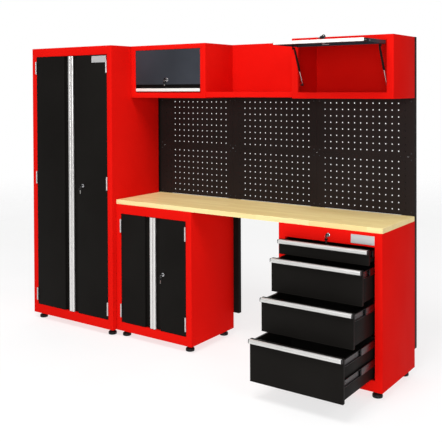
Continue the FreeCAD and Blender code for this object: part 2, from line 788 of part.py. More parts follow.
def flap(side, left, open_angle):
    """A flap door that hangs down from its hinge axis when closed, built about that axis.

    Along the closed flap -Z runs down to the free edge and -Y points out of the cabinet.
    """
    face = "flap_axis_out"
    edge = ("wall_stile + door_gap", "module - wall_stile - door_gap")
    inner = (f"{edge[0]} + steel", f"{edge[1]} - steel")
    strip_top = "(flap_strip - flap_length)"
    channel_top = f"({strip_top} + flap_channel)"
    pan_y = (f"{face} + steel", f"{face} + flap_depth")
    skin = plate("skin", edge, (face, f"{face} + steel"), (channel_top, "-flap_top_gap"))
    hole = round_bar("lock_hole", "lock_radius", "y", ("module / 2", "-flap_lock_down"),
                     (f"{face} - 1", f"{face} + 5"))
    pieces = [
        cut("skin_with_hole", skin, hole),
        plate("side_edge", (edge[0], inner[0]), pan_y, ("-flap_length", "-flap_top_gap")),
        plate("side_edge", (inner[1], edge[1]), pan_y, ("-flap_length", "-flap_top_gap")),
        plate("top_edge", inner, pan_y, ("-flap_top_gap - steel", "-flap_top_gap")),
        plate("channel_side", inner, (f"{face} + steel", f"{face} + flap_depth - steel"),
              (channel_top, f"{channel_top} + steel")),
        plate("channel_floor", inner, (f"{face} + flap_depth - steel", f"{face} + flap_depth"),
              ("-flap_length", f"{channel_top} + steel")),
    ]
    for origin, direction in (("wall_stile", 1), ("(module - wall_stile)", -1)):
        arm = span(origin, direction, "door_gap + steel", "door_gap + 2 * steel")
        pieces.append(plate("stud_arm", arm, (f"{face} + steel", "stud_in + 7"),
                            ("-stud_down - 7", "-stud_down + 7")))
        pieces.append(round_bar("stud", "4", "x", ("stud_in", "-stud_down"),
                                span(origin, direction, "door_gap + 2 * steel",
                                     "strut_inset - 4.3")))
    in_flap_place(node(f"flap_door_{side}", pieces), left, open_angle)
    strip = [
        plate("face", (inner[0], inner[1]), (face, f"{face} + strip_wall"),
              ("-flap_length", strip_top)),
        plate("edge", (inner[0], inner[1]),
              (f"{face} + strip_wall", f"{face} + flap_depth - steel"),
              ("-flap_length", "-flap_length + strip_wall")),
    ]
    in_flap_place(node(f"flap_handle_{side}", strip), left, open_angle)
    body = lock_body(f"flap_lock_body_{side}", "module / 2", face, "(0 - flap_lock_down)")
    in_flap_place(body, left, open_angle)
    key = lock_key(f"flap_lock_key_{side}", "module / 2", face, "(0 - flap_lock_down)", 1,
                   "flap_cam")
    in_flap_place(key, left, open_angle)


def strut_line(open_angle):
    """A gas strut's upper pin, its length and its lean, seen from the flap's hinge axis."""
    stud = Vector(0, value("stud_in"), value("-stud_down"))
    upper = flap_turn(open_angle).multVec(stud)
    lower = Vector(0, value("anchor_back"), value("-anchor_down"))
    along = lower - upper
    return upper, along.Length, math.degrees(math.atan2(along.y, -along.z))


def in_strut_place(group, left, open_angle, drop):
    """A sub-part built down from a strut's upper pin, put in its place on the cabinet."""
    upper, length, lean = strut_line(open_angle)
    turn = FreeCAD.Rotation(Vector(1, 0, 0), lean)
    start = upper + turn.multVec(Vector(0, 0, -length if drop else 0))
    group.Placement = FreeCAD.Placement(Vector(), turn)
    group.setExpression("Placement.Base.x", bound(left))
    group.setExpression("Placement.Base.y", bound(f"wall_front - flap_axis_out + ({start.y})"))
    group.setExpression("Placement.Base.z", bound(
        f"foot_height + tall_height - wall_upper_rail + flap_axis_up + ({start.z})"))


def gas_struts(side, left, open_angle):
    """Two gas struts: tubes that turn on the flap's studs, and rods that slide out of them."""
    tubes = []
    rods = []
    for across in ("wall_stile + strut_inset", "module - wall_stile - strut_inset"):
        eye = (f"{across} - 4", f"{across} + 4")
        pressure_tube = round_bar("tube", "tube_radius", "z", (across, "0"),
                                  ("-tube_length", "-eye_radius - 1"))
        bore = round_bar("bore", "rod_radius + 0.1", "z", (across, "0"),
                         ("-tube_length - 1", "-35"))
        tubes.append(cut("tube_with_bore", pressure_tube, bore))
        tubes.append(round_bar("upper_eye", "eye_radius", "x", ("0", "0"), eye))
        rods.append(round_bar("rod", "rod_radius", "z", (across, "0"),
                              ("eye_radius + 1", "eye_radius + 1 + rod_length")))
        rods.append(round_bar("lower_eye", "eye_radius", "x", ("0", "0"), eye))
    in_strut_place(node(f"strut_tubes_{side}", tubes), left, open_angle, drop=False)
    in_strut_place(node(f"strut_rods_{side}", rods), left, open_angle, drop=True)


# ---------------------------------------------------------------- bench, boards and posts

def worktop():
    """The solid wood top: one board with eased edges."""
    body = doc.addObject("PartDesign::Body", "worktop")
    outline = sketch_on(body, "worktop_outline", "XY_Plane")
    draw_rectangle(outline, "bench_left", "front + top_set_back",
                   "3 * module", "top_depth")
    board = pad(body, outline, "top_thickness")
    ease = body.newObject("PartDesign::Fillet", "worktop_ease")
    upper = [f"Edge{index}" for index, edge in enumerate(board.Shape.Edges, start=1)
             if edge.BoundBox.ZMin > value("top_thickness") - 1]
    ease.Base = (board, upper)
    ease.Radius = 2.5
    body.setExpression("Placement.Base.z", bound("foot_height + base_height"))
    nodes.append(body)


def pegboards():
    """Six perforated steel panels in two rows of three, on the front of the uprights.

    Behind the upper edge of each panel a strip covers the joint to what is above it.
    """
    body = doc.addObject("PartDesign::Body", "pegboard_panel")
    outline = sketch_on(body, "panel_outline", "XZ_Plane")
    draw_rectangle(outline, "0.5", "0.5", "module - 1", "peg_panel_height - 1")
    pad(body, outline, "peg_sheet")
    hole = sketch_on(body, "panel_hole", "XZ_Plane")
    draw_circle(hole, "peg_column_margin", "peg_row_margin", "peg_hole_radius")
    repeat(body, pocket(body, hole, "peg_sheet"),
           (("H_Axis", "peg_pitch", PEG_COLUMNS), ("V_Axis", "peg_pitch", PEG_ROWS)))
    start = Vector(value("bench_left"), value("front + depth"),
                   value("foot_height + base_height + top_thickness"))
    places = [start + Vector(column * value("module"), 0, level * value("peg_panel_height"))
              for level in (0, 1) for column in (0, 1, 2)]
    strips = []
    for column in (0, 1, 2):
        after_post = "upright_width" if column == 0 else "upright_width / 2"
        before_post = "upright_width" if column == 2 else "upright_width / 2"
        across = (f"bench_left + {column} * module + {after_post} + 1",
                  f"bench_left + {column + 1} * module - {before_post} - 1")
        for level in (1, 2):
            middle = f"(foot_height + base_height + top_thickness + {level} * peg_panel_height)"
            strips.append(plate("joint_strip", across,
                                ("front + depth", "front + depth + steel"),
                                (f"{middle} - strip_half", f"{middle} + strip_half")))
    node("pegboards", copies("panel", body, places) + strips)


def uprights():
    """Four folded posts from the base cabinets to the top of the row, with holes above the top.

    A tie plate with a spacer joins the first post to the back of the tall cabinet.
    """
    body = doc.addObject("PartDesign::Body", "upright_post")
    section = sketch_on(body, "post_section", "XY_Plane")
    wall = "steel"
    draw_outline(section, (
        ("0", "0"), ("upright_width", "0"), ("upright_width", "upright_depth"),
        (f"upright_width - {wall}", "upright_depth"), (f"upright_width - {wall}", wall),
        (wall, wall), (wall, "upright_depth"), ("0", "upright_depth"),
    ))
    pad(body, section, "tall_height - upright_bottom")
    hole = sketch_on(body, "post_hole", "XZ_Plane")
    holes_from = "(base_height + top_thickness)"
    draw_circle(hole, "upright_width / 2", f"{holes_from} - upright_bottom + slot_pitch / 2",
                "slot_radius")
    count = int(value(f"(tall_height - {holes_from}) / slot_pitch"))
    repeat(body, pocket(body, hole, "upright_depth"), (("V_Axis", "slot_pitch", count),))
    ends = ("0", "module - upright_width / 2", "2 * module - upright_width / 2",
            "3 * module - upright_width")
    places = [Vector(value(f"bench_left + {end}"), value("front + depth"),
                     value("foot_height + upright_bottom")) for end in ends]
    height = ("foot_height + upright_bottom", "foot_height + tall_height")
    tie = [
        plate("tie_plate", ("bench_left - tie_width", "bench_left"),
              ("front + depth", "front + depth + steel"), height),
        plate("tie_spacer", ("bench_left - tie_width", "bench_left - tie_width / 2"),
              ("tall_front + tall_depth", "front + depth"), height),
    ]
    node("uprights", copies("post", body, places) + tie)


def levelling_feet():
    """Twelve screw feet: a round pad that domes up to a nut and a threaded stem."""
    body = doc.addObject("PartDesign::Body", "levelling_foot")
    profile = sketch_on(body, "foot_profile", "XZ_Plane")
    draw_outline(profile, (
        ("0", "0"), ("foot_radius - 2", "0"), ("foot_radius", "3"), ("foot_radius", "14"),
        ("foot_radius - 6", "22"), ("14", "25"), ("14", "33"), ("6", "33"),
        ("6", "foot_height"), ("0", "foot_height"),
    ))
    turned = body.newObject("PartDesign::Revolution", "foot_turned")
    turned.Profile = profile
    turned.ReferenceAxis = (profile, ["V_Axis"])
    turned.Angle = 360
    doc.recompute()
    inset = "foot_inset"
    cabinets = (
        ("tall_left", "tall_width", "tall_front", "tall_depth"),
        ("bench_left", "module", "front", "depth"),
        ("bench_left + 2 * module", "module", "front", "depth"),
    )
    places = []
    for left, width, front, depth in cabinets:
        for across in (f"{left} + {inset}", f"{left} + {width} - {inset}"):
            for back in (f"{front} + {inset}", f"{front} + {depth} - {inset}"):
                places.append(Vector(value(across), value(back), 0))
    node("levelling_feet", copies("foot", body, places))


def fasteners():
    """Screws that hold the worktop and the pegboards, and the strut studs on the cabinets."""
    pieces = []
    under_top = "(foot_height + base_height - steel)"
    for cabinet in (0, 2):
        for across in ("top_screw_side", "(module - top_screw_side)"):
            for back in ("top_screw_front", "top_screw_back"):
                centre = (f"bench_left + {cabinet} * module + {across}", f"front + {back}")
                pieces.append(round_bar("worktop_screw", "7", "z", centre,
                                        (f"{under_top} - 5", under_top)))
    board_front = "(front + depth - peg_sheet)"
    low = "(foot_height + base_height + top_thickness)"
    for column in (0, 1, 2):
        for across in ("board_screw_inset", "(module - board_screw_inset)"):
            for level in (0, 1):
                for up in ("board_screw_inset", "(peg_panel_height - board_screw_inset)"):
                    centre = (f"bench_left + {column} * module + {across}",
                              f"{low} + {level} * peg_panel_height + {up}")
                    pieces.append(round_bar("board_screw", "5", "y", centre,
                                            (f"{board_front} - 2.5", board_front)))
    anchor = ("wall_front - flap_axis_out + anchor_back",
              "foot_height + tall_height - wall_upper_rail + flap_axis_up - anchor_down")
    for module in (0, 2):
        left = f"(bench_left + {module} * module + wall_stile)"
        right = f"(bench_left + {module + 1} * module - wall_stile)"
        for origin, direction in ((left, 1), (right, -1)):
            pieces.append(round_bar("strut_stud", "4", "x", anchor,
                                    span(origin, direction, "0", "strut_inset - 4.3")))
    node("fasteners", pieces)


# ---------------------------------------------------------------- assembly and export

def build():
    """Every sub-part of the row."""
    tall_cabinet()
    base_cabinet()
    drawer_unit()
    wall_cabinet("wall_cabinet_left", "bench_left", holes=False)
    wall_cabinet("wall_cabinet_right", "(bench_left + 2 * module)", holes=True)
    open_wall_shelf()
    shelves()
    all_doors()
    all_drawers()
    for side, left, open_angle in (("left", "bench_left", 0),
                                   ("right", "(bench_left + 2 * module)", 90)):
        flap(side, left, open_angle)
        gas_struts(side, left, open_angle)
    worktop()
    pegboards()
    uprights()
    levelling_feet()
    fasteners()


def check():
    """Stop if any object failed to build, or any sub-part has no valid shape."""
    doc.recompute()
    for item in doc.Objects:
        if "Invalid" in item.State or "Error" in item.State:
            raise RuntimeError(f"{item.Label} failed: {item.State}")
    for sub_part in nodes:
        if sub_part.Shape.isNull() or not sub_part.Shape.isValid():
            raise RuntimeError(f"{sub_part.Label} has no valid shape")


def export():
    """One STEP file for each sub-part."""
    os.makedirs("parts", exist_ok=True)
    for sub_part in nodes:
        sub_part.Shape.exportStep(f"parts/{sub_part.Label}.step")
        print(f"{sub_part.Label:28s} {len(sub_part.Shape.Solids):3d} solids"
              f" {sub_part.Shape.Volume / 1000:9.1f} cm3")
    for open_angle in (0, 90):
        length, lean = strut_line(open_angle)[1:]
        print(f"gas strut at {open_angle} degrees: {length:.3f} mm long, leans {lean:.3f} degrees")
    print(len(nodes), "sub-parts")


build()
check()
export()
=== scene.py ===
import json
import math
from itertools import product

import bmesh
import bpy
from mathutils import Matrix, Vector


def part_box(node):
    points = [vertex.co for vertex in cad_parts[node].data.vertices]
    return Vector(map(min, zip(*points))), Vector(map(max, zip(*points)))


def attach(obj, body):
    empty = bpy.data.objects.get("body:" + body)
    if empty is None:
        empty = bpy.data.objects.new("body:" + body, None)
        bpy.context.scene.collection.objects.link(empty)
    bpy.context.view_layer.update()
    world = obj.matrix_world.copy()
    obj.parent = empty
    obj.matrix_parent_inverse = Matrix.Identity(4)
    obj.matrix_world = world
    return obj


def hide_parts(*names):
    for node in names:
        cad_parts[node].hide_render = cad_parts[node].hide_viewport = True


# Looks for the garage workbench row: painted steel, aluminium strips, wood top, slides, locks
# with their keys, gas struts and feet, each built round the place of its CAD sub-part.
# Lengths are in metres: +X along the row, +Y towards the wall, +Z up.

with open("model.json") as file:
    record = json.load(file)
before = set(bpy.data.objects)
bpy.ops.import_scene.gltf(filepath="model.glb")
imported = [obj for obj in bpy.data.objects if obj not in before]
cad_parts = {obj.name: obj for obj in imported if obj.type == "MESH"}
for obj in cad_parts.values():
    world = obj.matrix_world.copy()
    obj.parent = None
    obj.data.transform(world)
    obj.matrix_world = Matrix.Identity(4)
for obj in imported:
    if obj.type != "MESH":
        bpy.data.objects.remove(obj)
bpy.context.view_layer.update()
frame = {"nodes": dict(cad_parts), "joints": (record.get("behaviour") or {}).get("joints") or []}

# The sheet metal, and the radii of a cabinet's edges, a door's edges and a fold.
STEEL = 0.0015
PANEL_RADIUS = 0.0025
DOOR_RADIUS = 0.0022
FOLD_RADIUS = 0.001
LEAST_RADIUS = 0.0002

# How finely rounds are drawn, and the angle in degrees from which an edge is left sharp.
ROUND_STEPS = 3
BEND_STEPS = 5
RING_STEPS = 40
WIRE_STEPS = 10
SHARP_ANGLE = 35

# The cabinets' front frames, and the gaps round what closes them.
RAIL_RETURN = 0.0195
HINGE_GAP = 0.003
DOOR_GAP = 0.002

DRAWERS = (1, 2, 3, 4)
SIDES = ("left", "right")
OPEN_ANGLE = {"left": 0, "right": 90}


# -------- skins
# A skin is (points, faces). A place takes (across, up, along) of a section to (x, y, z).

def along_x(across, up, along):
    """Section in the YZ plane."""
    return (along, across, up)


def along_y(across, up, along):
    """Section in the XZ plane."""
    return (across, along, up)


def along_z(across, up, along):
    """Section in the XY plane."""
    return (across, up, along)


def loft(loops, closed=False):
    """A skin over loops of equal length, closed round or with its two end loops filled."""
    count = len(loops[0])
    points = [Vector(point) for loop in loops for point in loop]
    faces = []
    steps = len(loops) if closed else len(loops) - 1
    for step in range(steps):
        here = step * count
        there = ((step + 1) % len(loops)) * count
        for index in range(count):
            after = (index + 1) % count
            faces.append((here + index, here + after, there + after, there + index))
    if not closed:
        last = (len(loops) - 1) * count
        faces.append(tuple(reversed(range(count))))
        faces.append(tuple(range(last, last + count)))
    return points, faces


def moved(skin, matrix):
    """The skin with every point taken through a matrix."""
    points, faces = skin
    return [matrix @ point for point in points], faces


def grown(rect, distance):
    """A rectangle (low across, high across, low up, high up) with its sides moved outwards."""
    return (rect[0] - distance, rect[1] + distance, rect[2] - distance, rect[3] + distance)


def rect_loop(rect, along, place, radius):
    """A loop round a rectangle with rounded corners."""
    radius = max(radius, LEAST_RADIUS)
    corners = (
        (rect[1] - radius, rect[3] - radius, 0),
        (rect[0] + radius, rect[3] - radius, 90),
        (rect[0] + radius, rect[2] + radius, 180),
        (rect[1] - radius, rect[2] + radius, 270),
    )
    loop = []
    for across, up, start in corners:
        for step in range(ROUND_STEPS + 1):
            angle = math.radians(start + 90 * step / ROUND_STEPS)
            loop.append(place(across + radius * math.cos(angle),
                              up + radius * math.sin(angle), along))
    return loop


def rounded_edge(rect, edge, inwards, place, radius):
    """Loops that turn from a rectangle's sides onto its end face at the edge value."""
    loops = []
    for step in range(ROUND_STEPS + 1):
        angle = math.radians(90 * step / ROUND_STEPS)
        shrink = radius * (1 - math.cos(angle))
        depth = radius * (1 - math.sin(angle))
        loops.append(rect_loop(grown(rect, -shrink), edge + inwards * depth, place,
                               radius - shrink))
    return loops


def block(low, high, radius):
    """A rounded box between two corners."""
    rect = (low[0], high[0], low[2], high[2])
    radius = min(radius, *((high[axis] - low[axis]) * 0.45 for axis in range(3)))
    front = rounded_edge(rect, low[1], 1, along_y, radius)
    back = rounded_edge(rect, high[1], -1, along_y, radius)
    return loft(list(reversed(front)) + back)


def pan(rect, shut, rim, place, radius):
    """A folded sheet tray: a face at the shut end, four walls, and an open end at the rim."""
    inwards = 1 if rim > shut else -1
    inner = grown(rect, -STEEL)
    loops = [
        rect_loop(inner, shut + inwards * STEEL, place, radius - STEEL),
        rect_loop(inner, rim, place, radius - STEEL),
        rect_loop(rect, rim, place, radius),
    ]
    return loft(loops + rounded_edge(rect, shut, inwards, place, radius))


def shell(outer, opening, front, back):
    """A welded cabinet: sides, top, bottom, back, and a front frame folded in at its opening."""
    lip = FOLD_RADIUS
    frame_back = front + RAIL_RETURN
    inside = grown(outer, -STEEL)
    loops = list(reversed(rounded_edge(outer, back, -1, along_y, PANEL_RADIUS)))
    loops += rounded_edge(outer, front, 1, along_y, PANEL_RADIUS)
    for step in range(ROUND_STEPS + 1):
        angle = math.radians(90 * step / ROUND_STEPS)
        spread = lip * (1 - math.sin(angle))
        depth = lip * (1 - math.cos(angle))
        loops.append(rect_loop(grown(opening, spread), front + depth, along_y, lip))
    loops += [
        rect_loop(opening, frame_back, along_y, lip),
        rect_loop(grown(opening, STEEL), frame_back, along_y, lip),
        rect_loop(grown(opening, STEEL), front + STEEL, along_y, lip),
        rect_loop(inside, front + STEEL, along_y, lip),
        rect_loop(inside, back - STEEL, along_y, lip),
    ]
    return loft(loops)


def bent(path, radii, thickness):
    """Points along a path with its corners turned to arcs, each with the point across the sheet.

    radii is one radius for every corner, or one for each.
    """
    corners = [Vector(point) for point in path]
    pairs = []
    for index, corner in enumerate(corners):
        before = (corner - corners[index - 1]).normalized() if index else None
        last = index == len(corners) - 1
        after = None if last else (corners[index + 1] - corner).normalized()
        if before is None or after is None:
            heading = after or before
            pairs.append((corner, corner + thickness * Vector((-heading.y, heading.x))))
            continue
        turn = math.atan2(before.cross(after), before.dot(after))
        hand = math.copysign(1, turn)
        radius = radii[index - 1] if isinstance(radii, (list, tuple)) else radii
        if hand * thickness > 0:
            radius += abs(thickness)
        start = corner - before * radius * math.tan(abs(turn) / 2)
        centre = start + hand * radius * Vector((-before.y, before.x))
        for step in range(BEND_STEPS + 1):
            spin = Matrix.Rotation(turn * step / BEND_STEPS, 2)
            heading = spin @ before
            left = Vector((-heading.y, heading.x))
            point = centre - hand * radius * left
            pairs.append((point, point + thickness * left))
    return pairs


def folded(path, low, high, place, thickness, radii=FOLD_RADIUS):
    """A folded sheet: a section path, thickened to its left, drawn out between two values."""
    loops = []
    for outer, inner in bent(path, radii, thickness):
        loops.append([place(outer.x, outer.y, low), place(outer.x, outer.y, high),
                      place(inner.x, inner.y, high), place(inner.x, inner.y, low)])
    return loft(loops)


def circle(centre, axis, radius, steps=32):
    """A loop of points round a centre, across an axis."""
    axis = Vector(axis).normalized()
    side = Vector((1, 0, 0)) if abs(axis.x) < 0.9 else Vector((0, 1, 0))
    side = (side - axis * side.dot(axis)).normalized()
    other = axis.cross(side)
    loop = []
    for step in range(steps):
        angle = math.tau * step / steps
        loop.append(Vector(centre) + radius * (math.cos(angle) * side
                                               + math.sin(angle) * other))
    return loop


def turned(profile, start, axis, steps):
    """A turned form: radii and their distances along an axis from its start."""
    direction = Vector(axis).normalized()
    return loft([circle(Vector(start) + direction * distance, axis, radius, steps)
                 for radius, distance in profile])


def washer(centre, axis, outer, hole, inner, thickness):
    """A round plate with a round hole that has its own centre, bridged on both faces."""
    half = Vector(axis).normalized() * thickness / 2
    return loft([
        circle(centre + half, axis, outer),
        circle(centre - half, axis, outer),
        circle(hole - half, axis, inner),
        circle(hole + half, axis, inner),
    ], closed=True)


def wire_ring(centre, axis, radius, wire):
    """A closed ring of round wire."""
    direction = Vector(axis).normalized()
    loops = []
    for step in range(WIRE_STEPS):
        angle = math.tau * step / WIRE_STEPS
        loops.append(circle(Vector(centre) + direction * wire * math.sin(angle), axis,
                            radius + wire * math.cos(angle), RING_STEPS))
    return loft(loops, closed=True)


def linked(name, data):
    """A new object of a mesh, light or camera, in the scene."""
    made = bpy.data.objects.new(name, data)
    bpy.context.scene.collection.objects.link(made)
    return made


def piece(name, body, skins, finish, stands_for=()):
    """One visible object made of skins, that rides on a CAD body and may stand for CAD nodes."""
    points = []
    faces = []
    for skin_points, skin_faces in skins:
        start = len(points)
        points += skin_points
        faces += [tuple(start + index for index in face) for face in skin_faces]
    mesh = bpy.data.meshes.new(name)
    mesh.from_pydata(points, [], faces)
    form = bmesh.new()
    form.from_mesh(mesh)
    bmesh.ops.recalc_face_normals(form, faces=form.faces)
    form.to_mesh(mesh)
    form.free()
    mesh.shade_smooth()
    mesh.set_sharp_from_angle(angle=math.radians(SHARP_ANGLE))
    mesh.materials.append(finish)
    made = linked(name, mesh)
    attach(made, body)
    if stands_for:
        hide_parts(*stands_for)


# -------- finishes

def add_node(tree, kind, inputs=None, **settings):
    """A node with its settings, and its inputs linked or set."""
    made = tree.nodes.new(kind)
    for key, value in settings.items():
        setattr(made, key, value)
    for socket, value in (inputs or {}).items():
        if isinstance(value, bpy.types.NodeSocket):
            tree.links.new(value, made.inputs[socket])
        else:
            made.inputs[socket].default_value = value
    return made


class Finish:
    """A material, with short ways to add the nodes that vary its surface."""

    def __init__(self, name, colour, roughness, **settings):
        self.material = bpy.data.materials.new(name)
        self.material.use_nodes = True
        self.tree = self.material.node_tree
        self.shader = self.tree.nodes["Principled BSDF"]
        self.shader.inputs["Base Color"].default_value = (*colour, 1)
        self.shader.inputs["Roughness"].default_value = roughness
        for socket, value in settings.items():
            self.shader.inputs[socket.replace("_", " ")].default_value = value
        self.place = self.tree.nodes.new("ShaderNodeTexCoord").outputs["Object"]

    def node(self, kind, inputs=None, **settings):
        """A node in the material."""
        return add_node(self.tree, kind, inputs, **settings)

    def noise(self, scale, detail, stretch=(1, 1, 1), **inputs):
        """Noise of a scale per metre, drawn out along an axis where its stretch is small.

        With a W among its inputs, it has a fourth dimension.
        """
        spread = self.node("ShaderNodeMapping", {"Vector": self.place, "Scale": stretch})
        inputs |= {"Vector": spread.outputs["Vector"], "Scale": scale, "Detail": detail}
        return self.node("ShaderNodeTexNoise", inputs,
                         noise_dimensions="4D" if "W" in inputs else "3D").outputs["Fac"]

    def spread(self, value, low, high, start=0.3, end=0.7):
        """A value that runs from start to end, taken to run from low to high."""
        return self.node("ShaderNodeMapRange", {
            "Value": value, "From Min": start, "From Max": end, "To Min": low,
            "To Max": high}).outputs["Result"]

    def blend(self, factor, first, second):
        """A colour between two colours."""
        ends = [colour if isinstance(colour, bpy.types.NodeSocket) else (*colour, 1)
                for colour in (first, second)]
        return self.node("ShaderNodeMix", {0: factor, 6: ends[0], 7: ends[1]},
                         data_type="RGBA").outputs[2]

    def set(self, socket, value):
        """A shader input driven by a node."""
        self.tree.links.new(value, self.shader.inputs[socket])

    def bump(self, height, strength, distance):
        """Relief from a height value."""
        self.set("Normal", self.node("ShaderNodeBump", {"Height": height, "Strength": strength,
                                                        "Distance": distance}).outputs["Normal"])


def enamel(name, colour, worn, roughness, specular, peel):
    """Baked enamel on steel: orange peel, slightly uneven gloss and a faint uneven tone."""
    paint = Finish(name, colour, roughness, Specular_IOR_Level=specular)
    tone = paint.spread(paint.noise(2.2, 3.0), 0.0, 1.0)
    paint.set("Base Color", paint.blend(tone, colour, worn))
    smears = paint.noise(9.0, 5.0, (1, 1, 0.35))
    paint.set("Roughness", paint.spread(smears, roughness - 0.04, roughness + 0.06))
    paint.bump(paint.noise(520.0, 2.0), peel, 0.0004)
    return paint.material


def brushed(name, colour, roughness, stretch, depth, metallic=1.0):
    """Metal with fine lines along the axis whose stretch is small."""
    metal = Finish(name, colour, roughness, Metallic=metallic)
    lines = metal.noise(1.0, 4.0, stretch)
    metal.set("Roughness", metal.spread(lines, roughness - 0.07, roughness + 0.09))
    shade = tuple(channel * 0.86 for channel in colour)
    metal.set("Base Color", metal.blend(metal.spread(lines, 0.0, 1.0), shade, colour))
    metal.bump(lines, depth, 0.0003)
    return metal.material


def cast(name, colour, shade, roughness, metallic, grain, depth):
    """A plain metal or plastic with a mottled tone and a fine grain."""
    stuff = Finish(name, colour, roughness, Metallic=metallic, Specular_IOR_Level=0.15)
    mottle = stuff.noise(grain * 0.12, 4.0)
    stuff.set("Base Color", stuff.blend(stuff.spread(mottle, 0.0, 1.0), shade, colour))
    stuff.set("Roughness", stuff.spread(mottle, roughness - 0.05, roughness + 0.08))
    stuff.bump(stuff.noise(grain, 3.0), depth, 0.0003)
    return stuff.material


STAVE_LENGTH = 0.36
STAVE_WIDTH = 0.0395
PALE_STAVE = (0.96, 0.83, 0.41)
DEEP_STAVE = (0.86, 0.70, 0.30)
GRAIN_LINE = (0.74, 0.53, 0.20)
PORE = (0.42, 0.25, 0.11)
# The darker colour for the faces that don't look up is painted shade.
WOOD_SIDE_SHADE = (0.52, 0.34, 0.18)


def butcher_block(name):
    """Glued wood staves along X, each with its own tone, grain lines and pores.

    The faces that don't look up are made a little darker: painted shade.
    """
    wood = Finish(name, (0.85, 0.68, 0.40), 0.42, Specular_IOR_Level=0.25)
    staves = wood.node("ShaderNodeTexBrick", {
        "Vector": wood.place, "Color1": (0, 0, 0, 1), "Color2": (1, 1, 1, 1),
        "Mortar": (0.5, 0.5, 0.5, 1), "Scale": 1.0, "Mortar Size": 0.0, "Bias": 0.0,
        "Brick Width": STAVE_LENGTH, "Row Height": STAVE_WIDTH}, offset=0.43,
        offset_frequency=2, squash=1.0)
    stave = wood.node("ShaderNodeSeparateColor", {"Color": staves.outputs["Color"]}).outputs["Red"]
    jump = wood.node("ShaderNodeMath", {0: stave, 1: 37.0}, operation="MULTIPLY").outputs[0]
    grain = wood.noise(3.2, 6.0, (1.6, 26.0, 26.0), W=jump, Roughness=0.62, Distortion=0.5)
    pores = wood.noise(1.0, 3.0, (12.0, 420.0, 420.0), W=jump)
    tint = wood.blend(stave, DEEP_STAVE, PALE_STAVE)
    lined = wood.blend(wood.spread(grain, 0.0, 0.38), tint, GRAIN_LINE)
    speck = wood.spread(pores, 0.0, 0.30, 0.60, 0.74)
    aged = wood.blend(speck, lined, PORE)
    facing = wood.node("ShaderNodeNewGeometry").outputs["Normal"]
    upward = wood.node("ShaderNodeSeparateXYZ", {"Vector": facing}).outputs["Z"]
    # Faces that don't look up blend towards the darker side colour: painted shade.
    edge = wood.spread(upward, 0.30, 0.0, 0.2, 0.8)
    wood.set("Base Color", wood.blend(edge, aged, WOOD_SIDE_SHADE))
    wood.set("Roughness", wood.spread(grain, 0.36, 0.50))
    wood.bump(pores, 0.10, 0.0004)
    return wood.material


RED = enamel("red_enamel", (0.66, 0.0075, 0.0045), (0.61, 0.0055, 0.0035), 0.44, 0.004, 0.05)
BLACK = enamel("black_enamel", (0.0072, 0.0064, 0.0058), (0.0095, 0.0086, 0.0078), 0.36, 0.02,
               0.06)
# A lighter, bluer copy of the black enamel for the flaps' pans: painted reflection.
BLACK_PAINTED_REFLECTION = enamel("black_enamel_painted_reflection", (0.026, 0.028, 0.034), (0.040, 0.044, 0.054), 0.34, 0.05, 0.06)
CHARCOAL = enamel("charcoal_enamel", (0.0135, 0.0095, 0.0088), (0.019, 0.014, 0.0130), 0.46,
                  0.06, 0.10)
STRIP_UPRIGHT = brushed("anodised_strip_upright", (0.78, 0.765, 0.75), 0.34, (700, 700, 5), 0.03,
                        0.75)
STRIP_LEVEL = brushed("anodised_strip_level", (0.66, 0.655, 0.64), 0.34, (5, 700, 700), 0.03, 0.50)
STRIP_FLAP = cast("satin_strip", (0.86, 0.83, 0.80), (0.80, 0.77, 0.74), 0.38, 0.25, 420.0, 0.05)
ZINC = cast("zinc_plate", (0.56, 0.55, 0.55), (0.46, 0.45, 0.45), 0.36, 0.6, 420.0, 0.06)
SLIDE_ZINC = brushed("slide_zinc", (0.045, 0.040, 0.042), 0.28, (500, 8, 500), 0.08)
CHROME = cast("lock_chrome", (0.78, 0.78, 0.79), (0.66, 0.66, 0.68), 0.18, 0.9, 250.0, 0.02)
DARK_CHROME = cast("lock_barrel", (0.10, 0.10, 0.105), (0.06, 0.06, 0.065), 0.25, 0.9, 250.0, 0.02)
KEY = brushed("key_steel", (0.45, 0.44, 0.42), 0.30, (600, 600, 30), 0.10)
STRUT = enamel("strut_black", (0.0045, 0.0035, 0.0035), (0.007, 0.005, 0.005), 0.30, 0.06, 0.03)
# The rods' chrome is tinted red: painted reflection of the red cabinets.
ROD = brushed("rod_chrome_painted_red_reflection", (0.60, 0.52, 0.52), 0.20, (500, 500, 10), 0.03, 0.9)
WOOD = butcher_block("rubberwood")
PLASTIC = cast("black_plastic", (0.007, 0.007, 0.0075), (0.011, 0.011, 0.012), 0.46, 0.0, 650.0,
               0.12)
SCREW = cast("black_oxide", (0.05, 0.05, 0.052), (0.03, 0.03, 0.032), 0.38, 0.8, 500.0, 0.08)
PLATE = brushed("badge_silver", (0.62, 0.61, 0.61), 0.36, (6, 600, 600), 0.04, 0.5)


# -------- cabinets

def doors_opening(cabinet):
    """The rectangle (x, x, z, z) of a two-door cabinet's opening."""
    left_low, left_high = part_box(f"{cabinet}_door_left")
    right_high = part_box(f"{cabinet}_door_right")[1]
    return (left_low.x - HINGE_GAP, right_high.x + HINGE_GAP,
            left_low.z - DOOR_GAP, left_high.z + DOOR_GAP)


def outline(node):
    """The rectangle (x, x, z, z) that a node covers from the front."""
    low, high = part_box(node)
    return (low.x, high.x, low.z, high.z)


def two_door_cabinet(cabinet):
    """The tall or the base cabinet's painted body."""
    node = f"{cabinet}_carcass"
    low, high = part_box(node)
    body = shell(outline(node), doors_opening(cabinet), low.y, high.y)
    piece(f"{cabinet}_body", "root", [body], RED, [node])


